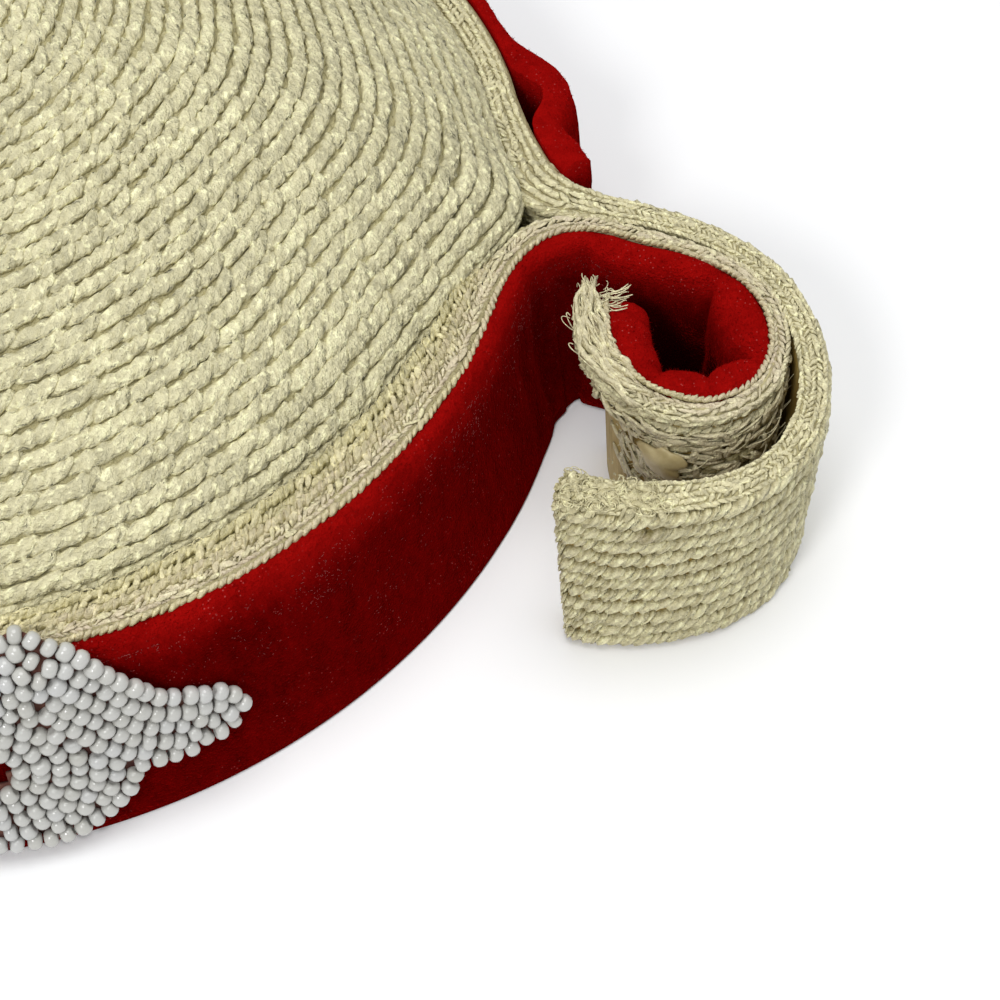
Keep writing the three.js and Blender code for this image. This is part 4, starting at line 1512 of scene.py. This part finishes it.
faces = np.concatenate([first + corners for corners in ((0, 1, 3), (1, 2, 3), (2, 0, 3), (2, 1, 0))])
velvet_pile = add_mesh("velvet_pile", points, [faces])
face_outward(velvet_pile)
finish_piece(velvet_pile, "velvet", velvet_finish.material, "velvet_facing")

# %% [markdown]
# Short faded hairs of lint cling to the pile in loose patches, mostly just below the rolled edge of the
# front. Each is a thin bent tube that lies a little off the cloth.

# %% Lint on the velvet
patches, each_patch = 110, 13
lint_count = patches * each_patch
patch_arc = chance.uniform(arc_at_angle(340), LEAF_START + 22, (patches, 1))
patch_up = BAND_HEIGHT - 3.0 - 20 * chance.uniform(0, 1, (patches, 1)) ** 2.4
lint_arc = (patch_arc + chance.normal(0, 2.6, (patches, each_patch))).ravel()
lint_up = np.clip((patch_up + chance.normal(0, 1.5, (patches, each_patch))).ravel(), 2, BAND_HEIGHT - 3.0)
share = np.linspace(-0.5, 0.5, 3)[None]
aim = chance.uniform(0, 6.28, (lint_count, 1))
bend = chance.normal(0, 0.2, (lint_count, 1)) * (0.25 - share**2)
hair = (0.08 + 0.36 * chance.uniform(0, 1, (lint_count, 1)) ** 2) * share
arc = lint_arc[:, None] + hair * np.cos(aim) - bend * np.sin(aim)
up = lint_up[:, None] + hair * np.sin(aim) + bend * np.cos(aim)
face_out = CLOTH_OFF + along_strip(arc, LIFT) + along_strip(arc, VELVET_THICK) + velvet_waves(arc, up)
hairs = strip_point(arc, face_out + 0.09, up)
hair_radius = chance.uniform(0.018, 0.030, lint_count)
velvet_lint = add_tubes("velvet_lint", strands(hairs, hair_radius, 3), 0.5, 0.0)
lint_finish = Finish("pale_lint", roughness=0.8)
lint_tint = lint_finish.noise(lint_finish.places(), 300.0, 2.0)
lint_finish.feed(base_color=lint_finish.ramp(
    lint_tint, (0.3, colour(0.20, 0.014, 0.014)), (0.7, colour(0.38, 0.085, 0.08))))
finish_piece(velvet_lint, "velvet", lint_finish.material, "velvet_facing")

# %% [markdown]
# The inner leaf ends in a frayed tip. Five loose ropes of straw wave along the top of the braid and draw
# together at the end. Filaments part from them, some bend over into loops, and a few wisps cross to the
# velvet. A rope is a bundle of long slanted strands, and each filament is a thin tube along a wandering
# line.

# %% Frayed tip
ROPES = 5
FRAY_FROM = STRIP_LENGTH - 20


def fray_side(arc, lane):
    """Place out from the strip's face of a lane across it. The lanes wave and draw together at the tip."""
    drawn = lane + 0.55 * (0.72 - lane) * smooth(arc, STRIP_LENGTH - 8, STRIP_LENGTH + 1)
    wave = 0.34 * np.sin(0.75 * arc + 9 * lane) + 0.16 * np.sin(1.7 * arc + 5 * lane)
    return -along_strip(arc, STRAW) * drawn + wave


rope_parts = []
for rope in range(ROPES):
    lane = 0.10 + 0.80 * rope / (ROPES - 1)
    rope_from = FRAY_FROM + chance.uniform(0, 5)
    rope_to = STRIP_LENGTH - chance.uniform(0, 1.6)
    starts, steps = row_starts(rope_from, rope_to, 0.80, 0.3)
    count = len(starts)
    local, depth = plaits(
        starts - 1.2, np.minimum(steps * chance.uniform(2.8, 6.2, count), STRIP_LENGTH + 1.6 - starts),
        width=chance.uniform(0.20, 0.40, count), height=chance.uniform(0.40, 0.85, count),
        wraps=3, rise=0.60 * chance.uniform(-0.6, 1.6, count),
        slant=0.2, groove=0.0, tip=0.3, ragged=0.07, knobs=0.08,
    )
    out = fray_side(local[..., 0], lane) - local[..., 1]
    tuft = 0.5 * smooth(local[..., 0], STRIP_LENGTH - 3, STRIP_LENGTH + 1)
    high = BAND_HEIGHT - 0.12 + 0.12 * np.sin(2 * starts)[:, None, None] + tuft + local[..., 2]
    points = strip_point(local[..., 0], out, high)
    rope_parts.append((points, plait_tones(count, 7), depth))
points, tones, depths = stack_parts(rope_parts)
fray_ropes = add_tubes("fray_ropes", points, tones, depths, 0.2)
finish_piece(fray_ropes, "band_straw", band_straw, "headband")

# %% Filaments of the frayed tip
FRAY_POINTS = 16
fray = 26
share = np.linspace(0, 1, FRAY_POINTS)[None]
lane = chance.uniform(0.02, 0.98, (fray, 1))
begin = chance.uniform(STRIP_LENGTH - 19, STRIP_LENGTH - 5, (fray, 1))
end = STRIP_LENGTH + 1.2 - 2.6 * chance.uniform(0, 1, (fray, 1)) ** 1.5
arc = begin + (end - begin) * share
stray = 0.30 * np.sin(1.1 * arc + chance.uniform(0, 6.28, (fray, 1)))
tuft = chance.uniform(0, 0.9, (fray, 1)) * smooth(arc, STRIP_LENGTH - 4, STRIP_LENGTH + 1)
up = BAND_HEIGHT + chance.uniform(-0.15, 0.35, (fray, 1)) + 0.15 * np.sin(1.3 * arc + 3 * lane) + tuft
run = strip_point(arc, fray_side(arc, lane) + stray, up)

# Loops stand at the tip and hang out at the back of the braid
LOOPS = 14
swing = np.linspace(0, np.pi, FRAY_POINTS)[None]
at_tip = (np.arange(LOOPS) % 2 == 0)[:, None]
loop_arc = np.where(at_tip, STRIP_LENGTH - chance.uniform(0.2, 2.5, (LOOPS, 1)),
                    STRIP_LENGTH - chance.uniform(1, 16, (LOOPS, 1)))
loop_lane = np.where(at_tip, chance.uniform(0.35, 0.98, (LOOPS, 1)), 1.0)
loop_wide = chance.uniform(0.2, 1.1, (LOOPS, 1))
loop_long = (0.3 + 1.7 * chance.uniform(0, 1, (LOOPS, 1)) ** 2) * np.sin(swing)
depth_there = along_strip(loop_arc, STRAW) * loop_lane
loop_lean = np.where(at_tip, 0.9, chance.normal(0.2, 0.6, (LOOPS, 1)))
loops_at = strip_point(
    loop_arc - loop_wide * np.cos(swing) + loop_lean * loop_long,
    -depth_there + 0.3 * np.cos(swing) - np.where(at_tip, 0.1, 0.75) * loop_long,
    BAND_HEIGHT - np.where(at_tip, 0.2, 1.4) + np.where(at_tip, 0.65, -0.3) * loop_long,
)
lines = np.concatenate([run, loops_at])
thick = np.concatenate([chance.uniform(0.07, 0.14, fray), chance.uniform(0.05, 0.09, LOOPS)])
frayed_tip = add_tubes("frayed_tip", strands(lines, thick, 5), strand_tones(fray + LOOPS, 0.62), 0.12, 0.22)
finish_piece(frayed_tip, "band_straw", band_straw, "headband")

# %% [markdown]
# A few threads have come loose altogether. Some curl at the tip, some cross to the velvet and some hang on
# the torn face. One function makes all three kinds from where they start and how far they wander.

# %% Wisps and loose threads
WISP_POINTS = 14


def wisps(count, begin, out, up, reach, sideways, drop, curl):
    """Loose threads: each starts about a place on the strip and wanders off along and across it."""
    share = np.linspace(0, 1, WISP_POINTS)[None]
    spin = chance.uniform(0, 6.28, (count, 1))
    turns = chance.uniform(1.5, 4.5, (count, 1))
    far = chance.uniform(0.5, 1.0, (count, 1))
    arc = begin[:, None] + reach * far * share + curl * np.sin(turns * share + spin) * share
    side = out[:, None] + sideways * far * share + curl * np.cos(turns * share + spin) * share
    high = up[:, None] + drop * far * share**1.5 + 0.4 * curl * np.sin(1.7 * turns * share + spin) * share
    return strip_point(arc, side, high)


tip_straw = along_strip(STRIP_LENGTH, STRAW)
count = 28
tip_wisps = wisps(
    count, STRIP_LENGTH - chance.uniform(0, 3.0, count), -chance.uniform(0, 1, count) * tip_straw,
    BAND_HEIGHT - chance.uniform(0, 2.2, count), 1.4, 0.5, -0.5, 0.8)
count = 26
velvet_wisps = wisps(
    count, STRIP_LENGTH - chance.uniform(1, 4, count), -chance.uniform(-0.4, 1.2, count),
    BAND_HEIGHT + chance.uniform(-0.5, 0.5, count), 0.8, 3.2, 0.3, 0.8)
count = 40
torn_at = chance.uniform(arc_at_row(LAST_ROW - 6), arc_at_row(LAST_ROW - 2.2), count)
torn_up = chance.uniform(12, 28, count)
torn_wisps = wisps(
    count, torn_at, -straw_back(torn_at, torn_up) - chance.uniform(0.0, 0.4, count),
    torn_up, -3.5, -0.4, 4.5, 1.0)
threads = np.concatenate([tip_wisps, velvet_wisps, torn_wisps])
# The threads get the palest tone and no depth: painted light, so that they stay pale in shadow.
loose_threads = add_tubes("loose_threads", strands(threads, chance.uniform(0.05, 0.10, len(threads))),
                          strand_tones(len(threads), 1.0), 0.0, 0.2)
finish_piece(loose_threads, "band_straw", band_straw, "headband")

# %% [markdown]
# At the outer leaf's free end the top braid is worn: torn flat bits of straw, bent over each other, and
# loops of fibre. A torn bit is one of the flat leaves used before, turned at random, and a loop is a thin
# tube.

# %% Worn top of the free end
count = 190
middle = chance.uniform(0.9, 14.5, count)
straw = along_strip(middle, STRAW)
lane = chance.uniform(0.08, 0.92, count)
along, across, out, depth = flat_bits(
    middle, chance.normal(0.3, 0.9, count), chance.uniform(1.3, 3.4, count),
    chance.uniform(0.20, 0.52, count), chance.uniform(0.14, 0.34, count))
side = np.clip((straw * lane)[:, None, None] + across, 0.0, (straw + 0.1)[:, None, None])
off_middle = np.abs(side / straw[:, None, None] - 0.5)
edge_drop = 0.9 * smooth(off_middle, 0.34, 0.52) + 0.8 * smooth(-along, -1.6, -0.2)
high = BAND_HEIGHT - 0.35 + chance.normal(0, 0.16, count)[:, None, None] + out - edge_drop
bits_at = strip_point(np.maximum(along, 0.25), -side, high)
# Some bits get a random extra depth: painted shade between the bits.
random_painted_shade = chance.uniform(0, 0.4, (count, 1, 1))
worn_top = add_tubes("worn_top", bits_at, plait_tones(count, 5), np.clip(0.9 * depth + random_painted_shade, 0, 1))
finish_piece(worn_top, "band_straw", band_straw, "headband")

# %% Loops on the free end
count = 80
swing = np.linspace(-0.4, 1.25 * np.pi, 12)[None]
loop_at = chance.uniform(1.2, 15, count)
loop_turn = chance.uniform(0, 6.28, (count, 1))
loop_size = chance.uniform(0.35, 1.0, (count, 1))
loop_x = loop_size * np.cos(swing) * 1.5
loop_y = loop_size * np.sin(swing)
straw = along_strip(loop_at, STRAW)
side = (straw * chance.uniform(0.08, 0.92, count))[:, None]
side = side + loop_x * np.sin(loop_turn) + loop_y * np.cos(loop_turn)
arc = loop_at[:, None] + loop_x * np.cos(loop_turn) - loop_y * np.sin(loop_turn)
high = BAND_HEIGHT - 0.1 + chance.uniform(-0.2, 0.25, (count, 1)) + 0.15 * np.sin(2 * swing)
lines = strip_point(np.maximum(arc, 0.4), -np.clip(side, 0.1, straw[:, None] - 0.1), high)
loop_radius = chance.uniform(0.06, 0.12, count)
end_loops = add_tubes("end_loops", strands(lines, loop_radius), strand_tones(count, 0.6), 0.15)
finish_piece(end_loops, "band_straw", band_straw, "headband")

# %% [markdown]
# Where the inner leaf's braid has come off, ragged flat bits of it still hang on the backing, and one patch
# of old glue has dried smooth. The bits are the same flat leaves, laid on the back of the leaf. The patch is
# a sphere pressed flat, with an uneven outline.

# %% Torn bits on the inner leaf
count = 170
middle = chance.uniform(arc_at_row(LAST_ROW - 6.5), arc_at_row(LAST_ROW - 2.0), count)
along, across, out, depth = flat_bits(
    middle, chance.normal(-0.5, 0.7, count), chance.uniform(1.6, 4.5, count),
    chance.uniform(0.18, 0.55, count), chance.uniform(0.15, 0.35, count))
high = chance.uniform(12, 29, count)[:, None, None] - across
bits_at = strip_point(along, -straw_back(along, high) - 0.15 - out, high)
torn_bits = add_tubes("torn_bits", bits_at, plait_tones(count, 5), 0.6 * depth, 0.25)
finish_piece(torn_bits, "band_straw", band_straw, "headband")

# %% Dried glue
GLUE_AT, GLUE_UP, GLUE_LONG, GLUE_TALL = arc_at_row(FIRST_INNER_ROW + 10.55), 22.4, 2.5, 3.0
bpy.ops.mesh.primitive_uv_sphere_add(segments=32, ring_count=16, radius=1)
glue = bpy.context.object
glue.name = glue.data.name = "glue_patch"
ball = np.array([vertex.co for vertex in glue.data.vertices])
round_it = np.arctan2(ball[:, 1], ball[:, 0])
uneven = 1 + 0.16 * np.sin(3 * round_it + 1) + 0.10 * np.sin(5 * round_it) + 0.05 * np.sin(9 * round_it)
arc = GLUE_AT + GLUE_LONG * uneven * ball[:, 0]
high = GLUE_UP + GLUE_TALL * uneven * ball[:, 1]
out = -straw_back(arc, high) - 0.45 - 0.85 * ball[:, 2] - 0.08 * np.sin(arc * 2.1) * np.sin(high * 1.7)
glue.data.vertices.foreach_set("co", in_frame(strip_point(arc, out, high)).ravel())
glue.data.shade_smooth()
face_outward(glue)
dried = Finish("dried_glue", roughness=0.42, specular_ior_level=0.5)
dried_cloud = dried.noise(dried.places(), 420.0, 4.0)
dried.feed(base_color=dried.ramp(
    dried_cloud,
    (0.30, colour(0.44, 0.35, 0.16)),
    (0.55, colour(0.56, 0.47, 0.25)),
    (0.80, colour(0.64, 0.57, 0.35)),
))
dried.bump(dried_cloud, 0.5, 0.0003)
finish_piece(glue, "band_straw", dried.material, "headband")

# %% [markdown]
# The ornament is sewn from opaque white glass seed beads, about 2.4 mm across and 2 mm long. One bead is a
# sphere, swollen to a barrel with dimpled ends for the hole. It is made once, and its points are used again
# for all the others.

# %% One bead
BEAD_ACROSS, BEAD_LONG = 2.42, 2.02
ROUNDNESS = 2.5  # 2 is a ball; more is nearer to a barrel
bpy.ops.mesh.primitive_uv_sphere_add(segments=12, ring_count=9, radius=1)
bead = bpy.context.object
bpy.ops.object.mode_set(mode="EDIT")
bpy.ops.mesh.select_all(action="SELECT")
bpy.ops.mesh.quads_convert_to_tris()
bpy.ops.object.mode_set(mode="OBJECT")
ball = np.array([vertex.co for vertex in bead.data.vertices])
bead_faces = np.array([list(face.vertices) for face in bead.data.polygons])
bpy.data.objects.remove(bead)
beside = np.hypot(ball[:, 0], ball[:, 1])
swollen = (beside**ROUNDNESS + np.abs(ball[:, 2]) ** ROUNDNESS) ** (-1 / ROUNDNESS)
barrel = ball * swollen[:, None]
barrel[:, 2] -= 0.45 * np.sign(barrel[:, 2]) * (1 - smooth(beside, 0.0, 0.45))
bead_points = barrel * [BEAD_ACROSS / 2, BEAD_ACROSS / 2, BEAD_LONG / 2]
print("a bead:", bead_points.min(0).round(2), bead_points.max(0).round(2), len(bead_faces), "faces")

# %% [markdown]
# The ornament's two halves mirror each other, so one half is laid out. Strings of beads follow its upper
# edge in rows, lie in arcs round the hole in the middle, and close the lower edge.

# %% Strings of beads
HOLE_UP, HOLE_RADIUS = 16.8, 3.1
BEAD_STEP, STRING_STEP = 2.04, 2.30
BEAD_ROOM = 1.88  # least distance between two beads' middles
BEND_UP, BEND_BACK = 31.6, math.radians(38.7)  # above this height the ornament leans back over the edge

# Middles of the beads in the upper and in the lower row, on one half. Columns: across, up
UPPER_ROW = np.array([
    (0, 33.9), (4.5, 35.2), (8.7, 36.7), (11.6, 34.9), (14.9, 32.4), (17.2, 29.3), (20.1, 25.5),
    (21.6, 23.2), (23.4, 21.6), (26.8, 19.9), (29.3, 19.0), (31.1, 17.6), (32.2, 15.2),
])
LOWER_ROW = np.array([
    (0, 4.0), (2.5, 3.8), (6.2, 3.8), (9.4, 4.4), (12.3, 5.7), (15.2, 8.2), (16.9, 10.4), (18.6, 12.0),
    (21, 12.0), (23.8, 11.5), (26.9, 12.1), (29.6, 12.6), (31.4, 13.4), (32.2, 15.2),
])


def on_velvet(across, out, up):
    """Points on the front of the velvet: across from the ornament's middle, out from the cloth, and up."""
    angle = PINCH_ANGLE + np.degrees(across / (STRAW_RADIUS + BAND_LEAN))
    pinch = pinch_at(angle)
    low = 1 - np.minimum(up, BEND_UP) / BAND_HEIGHT
    over = np.maximum(0, up - BEND_UP)
    back = math.sin(BEND_BACK) * over
    radius = STRAW_RADIUS - pinch + CLEARANCE + VELVET_WALL + (BAND_LEAN + pinch) * low + out - back
    up = np.minimum(up, BEND_UP) + math.cos(BEND_BACK) * over
    turned = np.radians(angle)
    return np.stack(np.broadcast_arrays(radius * np.sin(turned), -radius * np.cos(turned), up), axis=-1)


def string_of(line, step, offset=0.0):
    """Places along a line, a step apart, and the line's direction there."""
    length = running_sum(np.linalg.norm(np.diff(line, axis=0), axis=1))
    at = np.arange(step * (0.5 + offset), length[-1], step)

    def on_line(where):
        return np.stack([np.interp(where, length, column) for column in line.T], axis=1)

    return on_line(at), unit(on_line(at + 0.4) - on_line(at - 0.4))


def inset(line, distance):
    """A line moved sideways to its right by a distance."""
    along = unit(np.gradient(line, axis=0))
    return line + distance * np.stack([along[:, 1], -along[:, 0]], axis=1)


upper = smooth_line(UPPER_ROW, 12)
lower = smooth_line(LOWER_ROW, 12)
strings = [string_of(upper, BEAD_STEP), string_of(lower, BEAD_STEP)]
for row in range(1, 5):
    strings.append(string_of(inset(upper, STRING_STEP * row), BEAD_STEP, 0.5 * (row % 2)))
for row in range(8):
    swing = np.linspace(np.pi / 2, -np.pi / 2, 120)
    radius = HOLE_RADIUS + 1.15 + STRING_STEP * row
    ring = np.stack([radius * np.cos(swing), HOLE_UP + radius * np.sin(swing)], axis=1)
    strings.append(string_of(ring, BEAD_STEP * 0.98, 0.5 * (row % 2)))
print("strings of beads:", len(strings))

# %% [markdown]
# A bead is only put down where there is room for it. Then beads fill the places that are left, always the
# roomiest first, and all but the two outer rows push each other apart a little. Last, the half is mirrored.

# %% Room for each bead
HALF_ACROSS = 32.3  # half the ornament's width


def in_outline(across, up, margin):
    """Whether places lie between the two outer rows and clear of the hole."""
    across = np.abs(across)
    foot = np.interp(across, lower[:, 0], lower[:, 1])
    top = np.interp(across, upper[:, 0], upper[:, 1])
    clear = np.hypot(across, up - HOLE_UP) > HOLE_RADIUS + 0.9
    return (foot + margin < up) & (up < top - margin) & (across < HALF_ACROSS) & clear


kept_spots, kept_aims = [UPPER_ROW[0]], [np.array([1.0, 0.0])]
for number, (line_spots, line_aims) in enumerate(strings):
    for spot, aim in zip(line_spots, line_aims):
        nearest = np.hypot(*(np.array(kept_spots) - spot).T).min()
        if nearest > 0.93 * BEAD_ROOM and spot[0] > -0.2 and (number < 2 or in_outline(*spot, 1.0)):
            kept_spots.append(spot)
            kept_aims.append(aim)
fixed = sum(len(line_spots) for line_spots, _ in strings[:2])

trial = np.stack(np.meshgrid(np.arange(0.2, 32, 0.25), np.arange(4, 38, 0.25)), axis=-1).reshape(-1, 2)
trial = trial[in_outline(trial[:, 0], trial[:, 1], 0.9)]
while True:
    away = np.linalg.norm(trial[:, None] - np.array(kept_spots)[None], axis=2)
    room = away.min(axis=1)
    best = int(room.argmax())
    if room[best] < 0.93 * BEAD_ROOM:
        break
    kept_aims.append(kept_aims[int(away[best].argmin())])
    kept_spots.append(trial[best])

right_spots, right_aims = np.array(kept_spots), np.array(kept_aims)
for turn in range(40):
    gap = right_spots[:, None] - right_spots[None]
    away = np.linalg.norm(gap, axis=2) + 10 * np.eye(len(gap))
    push = np.maximum(0, 1.12 * BEAD_ROOM - away)[..., None] * gap / away[..., None]
    moved = right_spots + 0.25 * push.sum(axis=1)
    free = in_outline(moved[:, 0], moved[:, 1], 0.8) & (np.arange(len(moved)) > fixed) & (moved[:, 0] > 0)
    right_spots = np.where(free[:, None], moved, right_spots)
apart = right_spots[:, 0] > 1.0
spots = np.vstack([right_spots, right_spots[apart] * [-1, 1]])
aims = np.vstack([right_aims, right_aims[apart] * [-1, 1]])
print("beads:", len(spots))

# %% [markdown]
# Each bead is set on the velvet with its hole along the string, a little askew and a little uneven in size.
# The glass is nearly even in colour, with a small sharp light on each bead, which a thin clear coat gives.

# %% Beads
BEAD_OUT = 1.5
count = len(spots)
spots = spots + chance.normal(0, 0.07, spots.shape)
out = BEAD_OUT + chance.normal(0, 0.14, count)
middle = on_velvet(spots[:, 0], out, spots[:, 1])
aims = aims + chance.normal(0, 0.13, aims.shape)
ahead = on_velvet(spots[:, 0] + 0.2 * aims[:, 0], out, spots[:, 1] + 0.2 * aims[:, 1]) - middle
outward = on_velvet(spots[:, 0], out + 0.5, spots[:, 1]) - middle
ahead = unit(ahead)
ahead[:, 2] += chance.normal(0, 0.06, count)
ahead = unit(ahead)
sideways = unit(np.cross(outward, ahead))
outward = np.cross(ahead, sideways)
size = chance.uniform(0.94, 1.04, count)
stretch = size * chance.uniform(0.92, 1.05, count)
shapes = middle[:, None] \
    + bead_points[None, :, 0:1] * (size[:, None] * sideways)[:, None] \
    + bead_points[None, :, 1:2] * (size[:, None] * outward)[:, None] \
    + bead_points[None, :, 2:3] * (stretch[:, None] * ahead)[:, None]
first = np.arange(count)[:, None, None] * len(bead_points)
faces = (first + bead_faces).reshape(-1, bead_faces.shape[1])
beads = add_mesh("seed_beads", shapes.reshape(-1, 3), [faces])
bead_tone = np.repeat(chance.uniform(0, 1, count), len(bead_points))
give_numbers(beads, tone=bead_tone)

glass = Finish("white_glass", roughness=0.16, specular_ior_level=0.55, coat_weight=0.3, coat_roughness=0.06)
glass_tone = glass.attribute("tone")
glass_cloud = glass.noise(glass.places(), 900.0, 3.0)
glass.feed(base_color=glass.ramp(
    0.75 * glass_tone + 0.25 * glass_cloud,
    (0.06, colour(0.440, 0.432, 0.390)),
    (0.30, colour(0.490, 0.484, 0.448)),
    (0.70, colour(0.502, 0.498, 0.468)),
    (0.95, colour(0.500, 0.502, 0.492)),
))
glass.feed(roughness=0.10 + 0.14 * glass_cloud)
finish_piece(beads, "beads", glass.material, "bead_applique")

# %% [markdown]
# A thin red-brown felt, cut to the outline with the hole left open, shows between the beads. It is a grid
# bent to the front of the band. The points in the hole are deleted, and then it is made thick.

# %% Felt behind the beads
FELT_IN, FELT_OUT = 0.35, 0.75
FELT_ACROSS = 63.6


def felt_place(column, row):
    """Places of the felt, across the ornament and up from its lower to its upper row."""
    across = FELT_ACROSS * (column - 0.5)
    foot = np.interp(np.abs(across), lower[:, 0], lower[:, 1])
    top = np.interp(np.abs(across), upper[:, 0], upper[:, 1])
    return on_velvet(across, FELT_OUT, foot + np.maximum(0.2, top - foot) * row)


felt = bent_grid("bead_felt", 80, 18, felt_place)
felt_hole = in_frame(on_velvet(np.array(0.0), np.array(FELT_OUT), np.array(HOLE_UP)))
bpy.context.view_layer.objects.active = felt
bpy.ops.object.mode_set(mode="EDIT")
bpy.ops.mesh.select_mode(type="VERT")
bpy.ops.mesh.select_all(action="DESELECT")
bpy.ops.object.mode_set(mode="OBJECT")
for vertex in felt.data.vertices:
    vertex.select = bool(np.linalg.norm(np.array(vertex.co) - felt_hole) < (HOLE_RADIUS - 0.6) * MM)
bpy.ops.object.mode_set(mode="EDIT")
bpy.ops.mesh.delete(type="VERT")
bpy.ops.object.mode_set(mode="OBJECT")
thicken(felt, FELT_OUT - FELT_IN, 0)
felt_finish = Finish("brown_felt", roughness=0.9)
felt_cloud = felt_finish.noise(felt_finish.places(), 700.0, 3.0)
felt_finish.feed(base_color=felt_finish.ramp(
    felt_cloud, (0.3, colour(0.06, 0.012, 0.009)), (0.7, colour(0.15, 0.060, 0.040))))
felt_finish.bump(felt_cloud, 0.4, 0.0002)
finish_piece(felt, "beads", felt_finish.material, "bead_applique")
